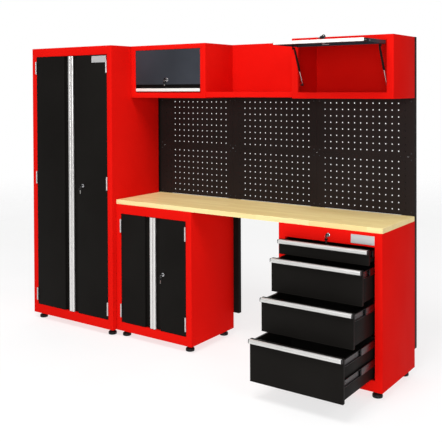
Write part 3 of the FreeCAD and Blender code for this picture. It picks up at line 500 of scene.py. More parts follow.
def drawer_unit():
    """The drawer unit's painted body, and the posts inside that carry the slides."""
    gap_above = 0.003
    gap_below = 0.0025
    post_depth = 0.060
    flange = 0.012
    low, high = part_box("drawer_carcass")
    members_low, members_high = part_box("slide_cabinet_members")
    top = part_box("drawer_1_box")[1].z + gap_above
    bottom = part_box("drawer_4_box")[0].z - gap_below
    opening = (members_low.x, members_high.x, bottom, top)
    skins = [shell(outline("drawer_carcass"), opening, low.y, high.y)]
    inner_height = (low.z + 2 * STEEL, high.z - 0.02)
    for edge, wall, hand in ((opening[0], low.x, 1), (opening[1], high.x, -1)):
        reach = wall + hand * 0.004
        post_end = low.y + 0.062
        front_post = [(edge - hand * flange, post_end), (edge, post_end),
                      (edge, low.y + RAIL_RETURN - 0.001)]
        rear = members_high.y
        rear_post = [(edge, rear - post_depth), (edge, rear), (reach, rear)]
        for post in (front_post, rear_post):
            skins.append(folded(post, *inner_height, along_z, thickness=hand * STEEL))
    piece("drawer_unit_body", "root", skins, RED, ["drawer_carcass"])


def wall_cabinet(side):
    """A wall cabinet's painted body with the two brackets for its gas struts.

    The left flap rests shut, so its outline gives the opening of both cabinets.
    """
    bracket_half = 0.013
    bracket_reach = 0.008
    node = f"wall_cabinet_{side}"
    low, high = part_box(node)
    flap_low, flap_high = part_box("flap_door_left")
    shift = low.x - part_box("wall_cabinet_left")[0].x
    opening = (flap_low.x - DOOR_GAP + shift, flap_high.x + DOOR_GAP + shift,
               flap_low.z - 0.007, flap_high.z + DOOR_GAP)
    skins = [shell(outline(node), opening, low.y, high.y)]
    anchor_y, anchor_z = strut_anchor(side)
    for edge, hand in ((opening[0], 1), (opening[1], -1)):
        start = (edge - hand * STEEL, low.y + RAIL_RETURN - 0.002, anchor_z - bracket_half)
        end = (edge, anchor_y + bracket_reach, anchor_z + bracket_half)
        skins.append(block(*ordered(start, end), 0.0006))
    piece(f"{node}_body", "root", skins, RED, [node])


def ordered(first, second):
    """The lowest and the highest corner of two opposite corners."""
    return tuple(map(min, first, second)), tuple(map(max, first, second))


def open_shelf():
    """The tray between the wall cabinets, folded from one sheet, and its back panel."""
    tray_depth = 0.035
    lip_width = 0.012
    overlap = 0.0023
    clear = 0.0004
    low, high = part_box("open_wall_shelf")
    deck = low.z + tray_depth
    tray = folded([(low.y, low.z), (low.y, deck), (high.y, deck), (high.y, low.z)],
                  low.x, high.x, along_x, thickness=-STEEL, radii=0.0015)
    lip = block((low.x, low.y, low.z), (high.x, low.y + lip_width, low.z + STEEL), 0.0006)
    panel = block((low.x - overlap, high.y - STEEL - clear, deck - lip_width),
                  (high.x + overlap, high.y - clear, high.z), 0.0004)
    piece("open_shelf_body", "root", [tray, lip, panel], RED, ["open_wall_shelf"])


SHELF_TOPS = {"tall": (0.602, 1.057, 1.352, 1.652), "base": (0.515,)}
SHELF_LIP = 0.025
SHELF_PLAY = 0.001
SHELF_SET_BACK = 0.0215


def shelves():
    """Loose shelves: each a deck with a lip folded down at the front and at the back."""
    skins = []
    for cabinet, heights in SHELF_TOPS.items():
        low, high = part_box(f"{cabinet}_carcass")
        left = low.x + STEEL + SHELF_PLAY
        right = high.x - STEEL - SHELF_PLAY
        front = low.y + SHELF_SET_BACK
        back = high.y - STEEL - SHELF_PLAY
        for top in heights:
            lip = top - SHELF_LIP
            path = [(front, lip), (front, top), (back, top), (back, lip)]
            skins.append(folded(path, left, right, along_x, thickness=-STEEL))
    piece("shelf_set", "root", skins, RED, ["cabinet_shelves"])


# -------- doors

CHANNEL = 0.040
STRIP_WALL = 0.0022
STRIP_BENDS = (0.0030, 0.0045)
STRIP_RETURN = 0.010
STRIP_SET_IN = 0.0016
STRIP_TRIM = 0.0045
STIFFENER = (0.09, 0.13)
STIFFENER_INSET = 0.02


def door(cabinet, side):
    """A door: a folded pan, a stiffener, the floor of its finger channel, and its strip."""
    body = f"{cabinet}_door_{side}"
    low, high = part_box(body)
    strip_low, strip_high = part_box(f"{cabinet}_handle_{side}")
    height = (low.z, high.z)
    if side == "left":
        pan_rect = (low.x, strip_low.x - CHANNEL, *height)
        free, hand, inner = strip_high.x, -1, pan_rect[1]
    else:
        pan_rect = (strip_high.x + CHANNEL, high.x, *height)
        free, hand, inner = strip_low.x, 1, pan_rect[0]
    floor = ordered((inner, high.y - STEEL, low.z), (free, high.y, high.z))
    stiff_left, stiff_right = sorted(inner + hand * across for across in STIFFENER)
    stiffener = (stiff_left, stiff_right, low.z + STIFFENER_INSET, high.z - STIFFENER_INSET)
    skins = [pan(pan_rect, low.y, high.y, along_y, DOOR_RADIUS), block(*floor, 0.0004)]
    skins.append(pan(stiffener, high.y - 0.001, low.y + STEEL, along_y, 0.0018))
    piece(f"{cabinet}_door_pan_{side}", body, skins, BLACK, [body])
    edge = free + hand * STRIP_SET_IN
    grip = free + hand * (strip_high.x - strip_low.x - STRIP_TRIM)
    section = [(edge, strip_high.y), (edge, low.y), (grip, low.y), (grip, low.y + STRIP_RETURN)]
    strip = folded(section, low.z + 0.001, high.z - 0.001, along_z,
                   thickness=hand * -STRIP_WALL, radii=STRIP_BENDS)
    piece(f"{cabinet}_strip_{side}", body, [strip], STRIP_UPRIGHT,
          [f"{cabinet}_handle_{side}"])


def bevelled(node, finish, width):
    """A CAD node that stays, with its edges eased and a finish in place of its plain one."""
    kept = frame["nodes"][node]
    kept.data.materials.clear()
    kept.data.materials.append(finish)
    if width:
        ease = kept.modifiers.new("ease", "BEVEL")
        ease.width = width
        ease.segments = 2
        ease.limit_method = "ANGLE"
        ease.angle_limit = math.radians(50)
        ease.harden_normals = True


# -------- locks

KEY_THICKNESS = 0.0022
KEY_LENGTH = 0.0085
KEY_BOW = 0.0115
SPARE_BOW = 0.0098
SHANK_HALF = 0.0042
BLADE_HALF = 0.0030
LONG_SPARE = 0.025
SHORT_SPARE = 0.014
RING_RADIUS = 0.0085
RING_WIRE = 0.0007
CAM_LENGTH = 0.042
CAM_HALF = 0.006
CAM_THICKNESS = 0.002
BAR_SLIMMER = 0.0002
DOWN = (0, 0, -1)

# Radii and distances along the lock, from the face it is set in.
BARREL = ((0.0066, -0.0190), (0.0095, -0.0190), (0.0098, -0.0185), (0.0098, 0.0), (0.0110, 0.0),
          (0.0116, 0.0006), (0.0114, 0.0012), (0.0102, 0.0020), (0.0072, 0.0020),
          (0.0066, 0.0014))
PLUG = ((0.0058, -0.0235), (0.0060, -0.0230), (0.0060, 0.0022), (0.0054, 0.0030),
        (0.0020, 0.0030))


def key_pieces(name, body, tip, inwards, down, length, bow):
    """A small key: a black grip with a hole, and a blade that runs inwards to its tip."""
    inwards = Vector(inwards)
    down = Vector(down)
    flat = inwards.cross(down)
    centre = Vector(tip) - inwards * (length + bow * 0.8)
    hole = centre - inwards * bow * 0.45
    shoulder = centre + inwards * bow * 0.8
    blades = []
    shank = (shoulder - inwards * bow * 0.2, shoulder + inwards * 0.003, SHANK_HALF)
    blade = (shoulder, Vector(tip), BLADE_HALF)
    thin = flat * KEY_THICKNESS * 0.42
    for start, end, width in (shank, blade):
        corners = []
        for point in (start, end):
            corners.append([point + down * width + thin, point - down * width + thin,
                            point - down * width - thin, point + down * width - thin])
        blades.append(loft(corners))
    piece(f"{name}_blade", body, blades, KEY)
    grip = washer(centre, flat, bow, hole, bow * 0.28, KEY_THICKNESS)
    piece(f"{name}_grip", body, [grip], PLASTIC)
    return hole


def cam_and_bar(name, body, cam_low, cam_high):
    """A lock's cam between two corners, and the latch bar that carries a long one further."""
    cam_end = min(cam_high[0], cam_low[0] + CAM_LENGTH)
    cam = block(cam_low, (cam_end, cam_high[1], cam_high[2]), 0.0008)
    piece(f"{name}_cam", body, [cam], ZINC)
    if cam_end < cam_high[0]:
        near = (cam_end - 0.004, cam_low[1] + BAR_SLIMMER, cam_low[2] + BAR_SLIMMER)
        far = (cam_high[0], cam_high[1] - BAR_SLIMMER, cam_high[2] - BAR_SLIMMER)
        piece(f"{name}_latch_bar", body, [block(near, far, 0.0008)], BLACK)


def spare_key(name, body, hole, outwards, length, hang):
    """A ring through the key's hole, and a spare key with a blade of a length along hang."""
    hang = Vector(hang).normalized()
    middle = hole + Vector(DOWN) * RING_RADIUS * 0.9
    ring = wire_ring(middle, (0.35, 0.94, 0), RING_RADIUS, RING_WIRE)
    piece(f"{name}_key_ring", body, [ring], KEY)
    across = outwards - Vector((0.55, 0, 0))
    across = (across - hang * across.dot(hang)).normalized()
    tip = middle + hang * (RING_RADIUS + SPARE_BOW * 1.25 + length)
    key_pieces(f"{name}_spare", body, tip, hang, across, length, SPARE_BOW)


def lock(name, barrel_body, key_body, centre, outwards, down, nodes, cam, spare, hang=DOWN):
    """A cam lock: barrel with a flange, plug and cam, the key in it, and a spare on a ring.

    nodes are the CAD nodes of the barrel and of the plug, and cam is the cam's two corners. The
    key's flat holds the outwards and down directions. The spare's blade is spare long.
    """
    centre = Vector(centre)
    outwards = Vector(outwards)
    barrel_node, plug_node = nodes
    barrel = turned(BARREL, centre, outwards, 40)
    piece(f"{name}_barrel", barrel_body, [barrel], CHROME, [barrel_node])
    plug = turned(PLUG, centre, outwards, 32)
    piece(f"{name}_plug", key_body, [plug], DARK_CHROME, [plug_node])
    cam_and_bar(name, key_body, *cam)
    tip = centre + outwards * 0.003
    hole = key_pieces(f"{name}_key", key_body, tip, -outwards, down, KEY_LENGTH, KEY_BOW)
    spare_key(name, key_body, hole, outwards, spare, hang)


def front_lock(name, barrel_body, key_body, spare):
    """A lock in an upright front, with its key upright in it."""
    flange = 0.002
    low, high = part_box(f"{name}_body")
    centre = ((low.x + high.x) / 2, low.y + flange, (low.z + high.z) / 2)
    lock(f"{name}_set", barrel_body, key_body, centre, (0, -1, 0), DOWN,
         (f"{name}_body", f"{name}_key"), cam_extent(f"{name}_key", centre), spare)


def cam_extent(node, centre):
    """The cam's two corners: it runs from the plug to the node's far side."""
    low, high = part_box(node)
    reach = low.x if centre[0] - low.x > high.x - centre[0] else high.x
    hand = math.copysign(1, reach - centre[0])
    return ordered((centre[0] - hand * CAM_HALF, high.y - CAM_THICKNESS, centre[2] - CAM_HALF),
                   (reach, high.y, centre[2] + CAM_HALF))


# -------- drawers

FRONT_DEPTH = 0.020
SLIDE_ROOM = 0.011
BOX_ABOVE = 0.008
BOX_BELOW = 0.012
HEM_TOP = 0.020
PULL_WALL = 0.0022
PULL_BENDS = (0.0035, 0.0110, 0.0006)
PULL_RETURN = 0.006
CAP = 0.003
CAP_RADIUS = 0.0055


def drawer(number):
    """A drawer: its front, a box with hemmed walls, and an aluminium pull with end caps.

    The box starts BOX_ABOVE over the front's lower edge and ends BOX_BELOW under its upper one.
    """
    body = f"drawer_{number}"
    low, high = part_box(f"{body}_box")
    pull_low, pull_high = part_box(f"{body}_handle")
    front_back = low.y + FRONT_DEPTH
    front = block(low, (high.x, front_back, high.z), 0.0018)
    box_rect = (low.x + SLIDE_ROOM, high.x - SLIDE_ROOM, front_back - 0.001, high.y)
    tray = pan(box_rect, low.z + BOX_ABOVE, high.z - BOX_BELOW, along_z, 0.003)
    hem = [block((low.x, low.y - 0.0012, low.z), (high.x, low.y + 0.004, low.z + 0.0035), 0.0012)]
    for edge, hand in ((box_rect[0], 1), (box_rect[1], -1)):
        start = (edge + hand * STEEL * 0.5, front_back, high.z - HEM_TOP)
        end = (edge + hand * STEEL * 2, high.y - 0.002, high.z - BOX_BELOW)
        hem.append(block(*ordered(start, end), 0.0006))
    piece(f"{body}_shell", body, [front, tray] + hem, BLACK, [f"{body}_box"])
    section = [(pull_low.y + PULL_RETURN, pull_low.z + 0.001), (pull_low.y, pull_low.z + 0.001),
               (pull_low.y, pull_high.z), (pull_high.y, pull_high.z), (pull_high.y, pull_low.z)]
    strip = folded(section, pull_low.x + CAP, pull_high.x - CAP, along_x,
                   thickness=-PULL_WALL, radii=PULL_BENDS)
    piece(f"{body}_pull", body, [strip], STRIP_LEVEL, [f"{body}_handle"])
    rect = (pull_low.y, pull_high.y, pull_low.z + 0.001, pull_high.z)
    caps = []
    for start in (pull_low.x, pull_high.x - CAP):
        caps.append(loft([rect_loop(rect, start, along_x, CAP_RADIUS),
                          rect_loop(rect, start + CAP, along_x, CAP_RADIUS)]))
    piece(f"{body}_pull_caps", body, caps, PLASTIC)


# Each slide member's web and flange ends from the cabinet's side, half height and wall.
INNER_HALF = 0.0184
INNER_SLIDE = (0.013, 0.0041, INNER_HALF, 0.0012)
MIDDLE_SLIDE = (0.0021, 0.0104, 0.0205, 0.0012)
OUTER_SLIDE = (0.0, 0.0095, 0.0225, STEEL)
RETAINER = (0.0034, 0.0102)
RETAINER_HALF = 0.0155
RETAINER_LENGTH = 0.038
SLIDE_SCREW = ((0.0040, 0.0), (0.0038, 0.0005), (0.0026, 0.0009))
SLIDE_SCREW_AT = 0.0118
SLIDE_SCREW_SHARES = (0.08, 0.36, 0.64, 0.92)


def slide_rows(drawer_number):
    """The heights of a drawer's slides: one row, or two on the deep drawer."""
    low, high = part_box(f"drawer_{drawer_number}_slide_members")
    rows = [high.z - INNER_HALF]
    if high.z - low.z > 3 * INNER_HALF:
        rows.append(low.z + INNER_HALF)
    return rows


def slide_channel(edge, hand, member, z, low_y, high_y):
    """One rolled slide member: a web and two flanges, rounded where they meet."""
    web, flange, half, wall = member
    section = [(edge + hand * flange, z - half), (edge + hand * web, z - half),
               (edge + hand * web, z + half), (edge + hand * flange, z + half)]
    side = hand if flange > web else -hand
    return folded(section, low_y, high_y, along_y, thickness=-side * wall, radii=0.0022)


def slides(number):
    """A drawer's ball slides: the members on the drawer and the middle members with retainers."""
    travel = f"drawer_{number}_slide_members"
    middle = f"drawer_{number}_slide_intermediates"
    low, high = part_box(travel)
    mid_low, mid_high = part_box(middle)
    edges = (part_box("slide_cabinet_members")[0].x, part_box("slide_cabinet_members")[1].x)
    members, middles, retainers, heads = [], [], [], []
    for z in slide_rows(number):
        for edge, hand in zip(edges, (1, -1)):
            members.append(slide_channel(edge, hand, INNER_SLIDE, z, low.y, high.y))
            middles.append(slide_channel(edge, hand, MIDDLE_SLIDE, z,
                                         mid_low.y + 0.006, mid_high.y))
            near, far = RETAINER
            start = (edge + hand * near, mid_low.y, z - RETAINER_HALF)
            end = (edge + hand * far, mid_low.y + RETAINER_LENGTH, z + RETAINER_HALF)
            retainers.append(block(*ordered(start, end), 0.0015))
            for share in SLIDE_SCREW_SHARES:
                spot = (edge + hand * SLIDE_SCREW_AT, low.y + share * (high.y - low.y), z)
                heads.append(turned(SLIDE_SCREW, spot, (-hand, 0, 0), 16))
    piece(f"drawer_{number}_slide_inner", f"drawer_{number}", members, SLIDE_ZINC,
          [travel])
    piece(f"drawer_{number}_slide_screws", f"drawer_{number}", heads, SLIDE_ZINC)
    piece(f"drawer_{number}_slide_middle", f"drawer_{number}_slides", middles, SLIDE_ZINC,
          [middle])
    piece(f"drawer_{number}_slide_retainers", f"drawer_{number}_slides", retainers, PLASTIC)


def cabinet_slides():
    """The outer slide members fixed to the posts of the drawer unit."""
    low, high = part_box("slide_cabinet_members")
    skins = []
    for number in DRAWERS:
        for z in slide_rows(number):
            for edge, hand in ((low.x, 1), (high.x, -1)):
                skins.append(slide_channel(edge, hand, OUTER_SLIDE, z, low.y, high.y))
    piece("slide_outer_members", "root", skins, SLIDE_ZINC,
          ["slide_cabinet_members"])


# -------- flaps and gas struts

FLAP_DEPTH = 0.020
FLAP_LENGTH = 0.289
FLAP_TOP = 0.004
FLAP_FACE = 0.004
FLAP_STRIP = 0.022
FLAP_CHANNEL = 0.026
FLAP_LOCK_UP = -0.208
FLAP_CAM_DEPTH = (0.0235, 0.0255)
FLAP_CAM_REACH = 0.097
RIVET = ((0.0038, -0.0002), (0.0036, 0.0003), (0.0024, 0.0006))
RIVETS_UP = (0.020, 0.072)
RIVET_BACK = 0.011
ARM_HALF = 0.007
STUD = (0.035, -0.062)
FLAP_STUD = ((0.0036, 0.0), (0.0040, 0.0006), (0.0040, 0.0045))


def joint(name):
    """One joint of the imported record."""
    return next(found for found in frame["joints"] if found["name"] == name)


def strut_anchor(side):
    """The (y, z) of the stud on the cabinet that a flap's gas struts turn on."""
    eye = 0.006
    low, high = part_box(f"strut_rods_{side}")
    return high.y - eye, low.z + eye


def flap_channel(left, right, back, top):
    """The finger channel behind a hanging flap's strip, and the arms and studs of its struts."""
    skins = [block((left, back - STEEL, -FLAP_LENGTH), (right, back, top), 0.0005)]
    for edge, hand in ((left, 1), (right, -1)):
        cheek = ordered((edge, FLAP_FACE + 0.001, -FLAP_LENGTH),
                        (edge + hand * STEEL, back, top))
        skins.append(block(*cheek, 0.0005))
        arm_face = edge + hand * 2 * STEEL
        arm = ordered((edge + hand * STEEL, FLAP_FACE + STEEL, STUD[1] - ARM_HALF),
                      (arm_face, STUD[0] + ARM_HALF, STUD[1] + ARM_HALF))
        skins.append(block(*arm, 0.0006))
        skins.append(turned(FLAP_STUD, (arm_face, *STUD), (hand, 0, 0), 20))
    return skins


def flap_rivets(left, right):
    """The rivet heads on a hanging flap's two cheeks."""
    return [turned(RIVET, (edge, FLAP_FACE + RIVET_BACK, up - FLAP_LENGTH), (outward, 0, 0), 16)
            for edge, outward in ((left, -1), (right, 1)) for up in RIVETS_UP]


def flap_lock(side, across, rest):
    """A flap's lock, with the key hanging down or, on the opened flap, lying level."""
    body = f"flap_{side}"
    opened = OPEN_ANGLE[side] != 0
    centre = Vector((across, FLAP_FACE, FLAP_LOCK_UP))
    near, far = FLAP_CAM_DEPTH
    cam = ordered((centre.x - CAM_HALF, FLAP_FACE + near, centre.z - CAM_HALF),
                  (centre.x + FLAP_CAM_REACH, FLAP_FACE + far, centre.z + CAM_HALF))
    cam = ordered(*(rest @ Vector(corner) for corner in cam))
    outwards = rest.to_3x3() @ Vector((0, -1, 0))
    lock(f"{body}_lock_set", body, f"{body}_lock", rest @ centre, outwards,
         (1, 0, 0) if opened else DOWN, (f"flap_lock_body_{side}", f"flap_lock_key_{side}"),
         cam, SHORT_SPARE, (-0.98, -0.08, -0.15) if opened else DOWN)


def flap(side):
    """A flap door built hanging from its hinge axis, then turned to where it rests."""
    body = f"flap_{side}"
    axis = Vector(joint(f"{body}_hinge")["pos_m"])
    low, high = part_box(f"flap_door_{side}")
    rest = (Matrix.Translation((0, axis.y, axis.z))
            @ Matrix.Rotation(math.radians(-OPEN_ANGLE[side]), 4, "X"))
    left, right = low.x, high.x
    strip_top = FLAP_STRIP - FLAP_LENGTH
    channel_top = strip_top + FLAP_CHANNEL
    back = FLAP_FACE + FLAP_DEPTH
    rivets = [moved(skin, rest) for skin in flap_rivets(left, right)]
    piece(f"{body}_rivets", body, rivets, ZINC)
    face = pan((left, right, channel_top, -FLAP_TOP), FLAP_FACE, back, along_y, DOOR_RADIUS)
    # The pan takes the lighter copy of the black enamel: painted reflection.
    piece(f"{body}_pan", body, [moved(face, rest)], BLACK_PAINTED_REFLECTION, [f"flap_door_{side}"])
    channel = [moved(skin, rest) for skin in flap_channel(left, right, back, channel_top)]
    piece(f"{body}_channel", body, channel, BLACK)
    section = [(back - STEEL, -FLAP_LENGTH), (FLAP_FACE, -FLAP_LENGTH), (FLAP_FACE, strip_top),
               (FLAP_FACE + STRIP_RETURN, strip_top)]
    strip = folded(section, left + 0.002, right - 0.002, along_x, thickness=-STRIP_WALL,
                   radii=STRIP_BENDS)
    piece(f"{body}_strip", body, [moved(strip, rest)], STRIP_FLAP,
          [f"flap_handle_{side}"])
    flap_lock(side, (left + right) / 2, rest)


# The struts' turned forms: radii and distances along each from its socket's centre.
SOCKET_HALF = 0.0075
TUBE = ((0.0032, 0.005), (0.0045, 0.008), (0.0056, 0.014), (0.0062, 0.017), (0.0062, 0.141),
        (0.0057, 0.142), (0.0057, 0.144), (0.0062, 0.145), (0.0060, 0.149), (0.0036, 0.150))
TUBE_SOCKET = ((0.0045, -0.0038), (0.0058, -0.0030), (0.0060, 0.0), (0.0058, 0.0030),
               (0.0045, 0.0038))
ROD_BAR = ((0.0019, 0.005), (0.0022, 0.006), (0.0022, 0.140), (0.0019, 0.141))
ROD_SOCKET = ((0.0038, -0.0034), (0.0048, -0.0026), (0.0050, 0.0), (0.0048, 0.0026),
              (0.0038, 0.0034))
ROD_NECK = ((0.0030, 0.003), (0.0033, 0.005), (0.0033, 0.012), (0.0028, 0.013))


def gas_struts(side):
    """Two gas struts: a black tube with a socket on the flap's stud, and a bright rod."""
    body = f"flap_{side}_strut"
    pin = Vector(joint(f"{body}_pivot")["pos_m"])
    down = Vector(joint(f"{body}_slide")["axis"])
    low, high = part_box(f"strut_tubes_{side}")
    anchor_y, anchor_z = strut_anchor(side)
    tubes, rods, ends = [], [], []
    for x in (low.x + SOCKET_HALF, high.x - SOCKET_HALF):
        top = Vector((x, pin.y, pin.z))
        foot = Vector((x, anchor_y, anchor_z))
        tubes.append(turned(TUBE, top, down, 32))
        tubes.append(turned(TUBE_SOCKET, top, (1, 0, 0), 24))
        rods.append(turned(ROD_BAR, foot, -down, 24))
        ends.append(turned(ROD_SOCKET, foot, (1, 0, 0), 24))
        ends.append(turned(ROD_NECK, foot, -down, 24))
    piece(f"{body}_tube_pair", f"{body}_tubes", tubes, STRUT,
          [f"strut_tubes_{side}"])
    piece(f"{body}_rod_pair", f"{body}_rods", rods, ROD,
          [f"strut_rods_{side}"])
    piece(f"{body}_rod_sockets", f"{body}_rods", ends, SCREW)


# -------- feet, screws and plates

FOOT_INSET = 0.050
FOOT_PAD = ((0.0255, 0.0), (0.0275, 0.0008), (0.0287, 0.0030), (0.0290, 0.0060),
            (0.0290, 0.0130), (0.0284, 0.0160), (0.0262, 0.0192), (0.0225, 0.0216),
            (0.0160, 0.0235), (0.0140, 0.0248), (0.0135, 0.0262), (0.0070, 0.0264))
NUT_WIDTH = 0.0225
NUT_BOTTOM = 0.0262
NUT_TOP = 0.0332
STEM_TOP = 0.0420
ROOT_RADIUS = 0.0052
CREST_RADIUS = 0.0059
THREAD_PITCH = 0.00145
THREADS = 6


def hexagon_nut(centre, across, low, high):
    """A hexagon nut round an upright axis, with its corners turned off at both ends."""
    chamfer = 0.0010
    flat = across * 0.50
    corner = across * 0.577
    loops = []
    for radius, z in ((flat, low), (corner, low + chamfer), (corner, high - chamfer),
                      (flat, high)):
        loops.append(circle((centre[0], centre[1], z), (0, 0, 1), radius, 6))
    return loft(loops)


def feet():
    """Twelve levelling feet: a moulded pad, a nut and a threaded stem."""
    stem = [(ROOT_RADIUS, NUT_TOP - 0.0007)]
    for turn in range(THREADS):
        z = NUT_TOP + THREAD_PITCH * turn
        stem += [(ROOT_RADIUS, z), (CREST_RADIUS, z + 0.0007)]
    stem.append((ROOT_RADIUS, STEM_TOP))
    pads, metal = [], []
    for cabinet in ("tall", "base", "drawer"):
        low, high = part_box(f"{cabinet}_carcass")
        for x, y in product((low.x + FOOT_INSET, high.x - FOOT_INSET),
                            (low.y + FOOT_INSET, high.y - FOOT_INSET)):
            pads.append(turned(FOOT_PAD, (x, y, 0), (0, 0, 1), 48))
            metal.append(hexagon_nut((x, y), NUT_WIDTH, NUT_BOTTOM, NUT_TOP))
            metal.append(turned(stem, (x, y, 0), (0, 0, 1), 24))
    piece("foot_pads", "root", pads, PLASTIC, ["levelling_feet"])
    piece("foot_nuts", "root", metal, SCREW)


def screw_head(centre, axis, radius, height):
    """A domed screw head with a hexagon socket."""
    outer = [(radius * 0.96, 0.0), (radius, height * 0.2), (radius * 0.86, height * 0.7),
             (radius * 0.56, height)]
    direction = Vector(axis).normalized()
    start = Vector(centre)
    loops = [circle(start + direction * along, axis, wide, 24) for wide, along in outer]
    socket = []
    for along in (height, height * 0.35):
        loop = []
        for step in range(24):
            angle = math.tau * step / 24
            sector = (angle % (math.pi / 3)) - math.pi / 6
            wide = radius * 0.40 * math.cos(math.pi / 6) / math.cos(sector)
            unit = circle((0, 0, 0), axis, 1.0, 24)[step]
            loop.append(start + direction * along + unit * wide)
        socket.append(loop)
    return loft(loops + socket)


BOARD_HEIGHT = 0.350
BOARD_SCREWS_ACROSS = (0.020, 0.630)
BOARD_SCREWS_UP = (0.020, 0.330)
TOP_SCREWS_ACROSS = (0.080, 0.570)
TOP_SCREWS_BACK = (0.070, 0.430)
CABINET_STUD = ((0.0055, 0.0), (0.0055, 0.0020), (0.0040, 0.0026), (0.0040, 0.0097))
STUD_REACH = 0.014


def board_screws():
    """Two screws at each side edge of each pegboard."""
    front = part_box("pegboards")[0].y
    low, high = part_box("base_carcass")
    module = high.x - low.x
    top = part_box("worktop")[1].z
    skins = []
    for column, across, level, up in product(range(3), BOARD_SCREWS_ACROSS, range(2),
                                             BOARD_SCREWS_UP):
        place = (low.x + column * module + across, front, top + level * BOARD_HEIGHT + up)
        skins.append(screw_head(place, (0, -1, 0), 0.005, 0.0025))
    return skins


def top_screws():
    """The screws that hold the worktop, under the base cabinet's and drawer unit's tops."""
    skins = []
    for cabinet in ("base", "drawer"):
        low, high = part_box(f"{cabinet}_carcass")
        for across, back in product(TOP_SCREWS_ACROSS, TOP_SCREWS_BACK):
            place = (low.x + across, low.y + back, high.z - STEEL)
            skins.append(screw_head(place, DOWN, 0.007, 0.005))
    return skins


def cabinet_studs():
    """The studs on the wall cabinets' brackets that the gas struts turn on."""
    skins = []
    for side in SIDES:
        anchor_y, anchor_z = strut_anchor(side)
        low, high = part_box(f"strut_tubes_{side}")
        for x, hand in ((low.x + SOCKET_HALF - STUD_REACH, 1),
                        (high.x - SOCKET_HALF + STUD_REACH, -1)):
            skins.append(turned(CABINET_STUD, (x, anchor_y, anchor_z), (hand, 0, 0), 24))
    return skins


def screws():
    """Screw heads on the pegboards and under the worktop, and the struts' studs."""
    skins = board_screws() + top_screws() + cabinet_studs()
    piece("screw_heads", "root", skins, SCREW, ["fasteners"])


def plate(name, body, rect, front):
    """A plain silver plate with nothing on it, its field set back behind a rounded rim."""
    rim = 0.0022
    proud = 0.0012
    set_back = 0.0009
    edge_radius = 0.0006
    field_radius = 0.0012
    field = grown(rect, -rim)
    loops = rounded_edge(rect, front - proud, 1, along_y, edge_radius)
    loops = [rect_loop(rect, front + 0.0002, along_y, edge_radius)] + list(reversed(loops))
    loops += [rect_loop(field, front - proud, along_y, field_radius),
              rect_loop(field, front - set_back, along_y, field_radius)]
    piece(name, body, [loft(loops)], PLATE)


def plates():
    """The plates on the drawer unit's fascia and on the tall cabinet's right door."""
    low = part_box("drawer_carcass")[0]
    plate("fascia_plate", "root", (low.x + 0.465, low.x + 0.605, low.z + 0.803, low.z + 0.853),
          low.y)
    low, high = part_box("tall_door_right")
    plate("tall_door_plate", "tall_door_right",
          (high.x - 0.141, high.x - 0.004, high.z - 0.052, high.z - 0.006), low.y)


# -------- stage, light and camera

def stage():
    """A wide pale floor that fades into the pale surroundings away from the object."""
    loops = [circle((0, 0, -0.0005), (0, 0, 1), radius, 96) for radius in (0.01, 4, 8, 16, 30)]
    points, faces = loft(loops)
    mesh = bpy.data.meshes.new("floor")
    mesh.from_pydata(points, [], faces[:-1])
    floor = linked("floor", mesh)
    pale = Finish("pale_floor", (0.30, 0.30, 0.30), 0.75, Specular_IOR_Level=0.1,
                  Emission_Color=(1, 1, 1, 1), Emission_Strength=0.70)
    mottle = pale.noise(1.5, 3.0)
    pale.set("Base Color", pale.blend(pale.spread(mottle, 0.0, 1.0), (0.29, 0.29, 0.29),
                                      (0.31, 0.31, 0.31)))
    far = pale.node("ShaderNodeVectorMath", {0: pale.place}, operation="LENGTH").outputs["Value"]
    fade = pale.node("ShaderNodeMapRange", {"Value": far, "From Min": 3.5, "From Max": 11.0},
                     interpolation_type="SMOOTHSTEP").outputs["Result"]
    clear = pale.node("ShaderNodeBsdfTransparent")
    mixed = pale.node("ShaderNodeMixShader", {0: fade, 1: pale.shader.outputs[0],
                                              2: clear.outputs[0]})
    pale.tree.links.new(mixed.outputs[0], pale.tree.nodes["Material Output"].inputs["Surface"])
    mesh.materials.append(pale.material)


def softbox(name, place, target, size, watts):
    """A square soft light aimed at a target."""
    data = bpy.data.lights.new(name, "AREA")
    data.shape = "SQUARE"
    data.size = size
    data.energy = watts
    lamp = linked(name, data)
    lamp.location = place
    lamp.rotation_euler = (Vector(target) - Vector(place)).to_track_quat("-Z", "Y").to_euler()


BEHIND_VIEWER = (0.62, -0.78, 0.0)
SURROUNDINGS_BEHIND_ROW = 1.0
SURROUNDINGS_ELSEWHERE = 0.36


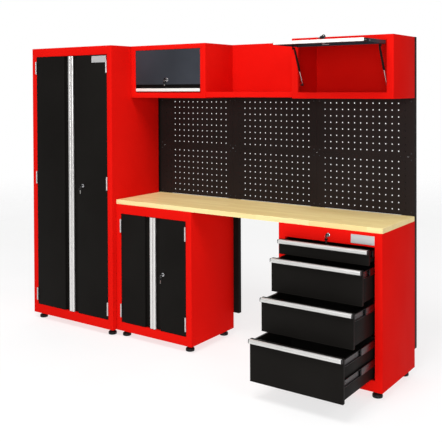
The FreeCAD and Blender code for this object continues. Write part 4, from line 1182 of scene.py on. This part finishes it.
def lights():
    """Surroundings that are white behind the row and dimmer elsewhere, and three soft lights."""
    world = bpy.data.worlds.new("surroundings")
    world.use_nodes = True
    tree = world.node_tree
    sky = tree.nodes["Background"]
    sky.inputs["Color"].default_value = (1.0, 1.0, 1.0, 1)
    heading = add_node(tree, "ShaderNodeTexCoord").outputs["Generated"]
    facing = add_node(tree, "ShaderNodeVectorMath", {0: heading, 1: BEHIND_VIEWER},
                      operation="DOT_PRODUCT").outputs["Value"]
    dimmer = add_node(tree, "ShaderNodeMapRange", {
        "Value": facing, "From Min": -0.85, "From Max": -0.35,
        "To Min": SURROUNDINGS_BEHIND_ROW, "To Max": SURROUNDINGS_ELSEWHERE},
        interpolation_type="SMOOTHSTEP")
    tree.links.new(dimmer.outputs["Result"], sky.inputs["Strength"])
    bpy.context.scene.world = world
    softbox("overhead_light", (0.8, -3.0, 6.2), (0.1, 0, 1.1), 2.6, 250)
    softbox("front_light", (3.5, -6.0, 2.1), (0.5, 0, 1.3), 2.2, 228)
    softbox("side_light", (5.6, -2.2, 4.4), (0, 0, 1.7), 2.0, 55)


CAMERA_PLACE = (2.9901, -3.8619, 1.7000)
CAMERA_HEADING = (-0.5747266, 0.8182115, -0.01480811)
CAMERA_YAW = 35.085
CAMERA_ROLL = -0.2522


def camera():
    """The viewpoint in front of the row's right end, with the vertical shift its framing needs."""
    yaw = math.radians(CAMERA_YAW)
    roll = math.radians(CAMERA_ROLL)
    forward = Vector(CAMERA_HEADING).normalized()
    level = Vector((math.cos(yaw), math.sin(yaw), 0))
    upright = level.cross(forward)
    right = math.cos(roll) * level + math.sin(roll) * upright
    up = -math.sin(roll) * level + math.cos(roll) * upright
    data = bpy.data.cameras.new("camera")
    data.sensor_width = 36.0
    data.lens = 61.11
    data.shift_y = -0.273
    data.clip_end = 100
    view = linked("camera", data)
    columns = Matrix((right, up, -forward)).transposed().to_4x4()
    view.matrix_world = Matrix.Translation(CAMERA_PLACE) @ columns
    bpy.context.scene.camera = view
    bpy.context.scene.view_settings.view_transform = "Standard"


# -------- the whole row

EASED = 0.0004

for cabinet in ("tall", "base"):
    two_door_cabinet(cabinet)
    for side in SIDES:
        door(cabinet, side)
        bevelled(f"{cabinet}_hinge_leaves_{side}", ZINC, EASED)
    front_lock(f"{cabinet}_lock", f"{cabinet}_door_right", f"{cabinet}_lock", LONG_SPARE)
drawer_unit()
for side in SIDES:
    wall_cabinet(side)
    flap(side)
    gas_struts(side)
open_shelf()
shelves()
for number in DRAWERS:
    drawer(number)
    slides(number)
cabinet_slides()
front_lock("drawer_lock", "root", "drawer_lock", SHORT_SPARE)
feet()
screws()
plates()
bevelled("hinge_frame_leaves", ZINC, EASED)
bevelled("worktop", WOOD, 0)
bevelled("pegboards", CHARCOAL, 0)
bevelled("uprights", BLACK, 0)

stage()
lights()
camera()
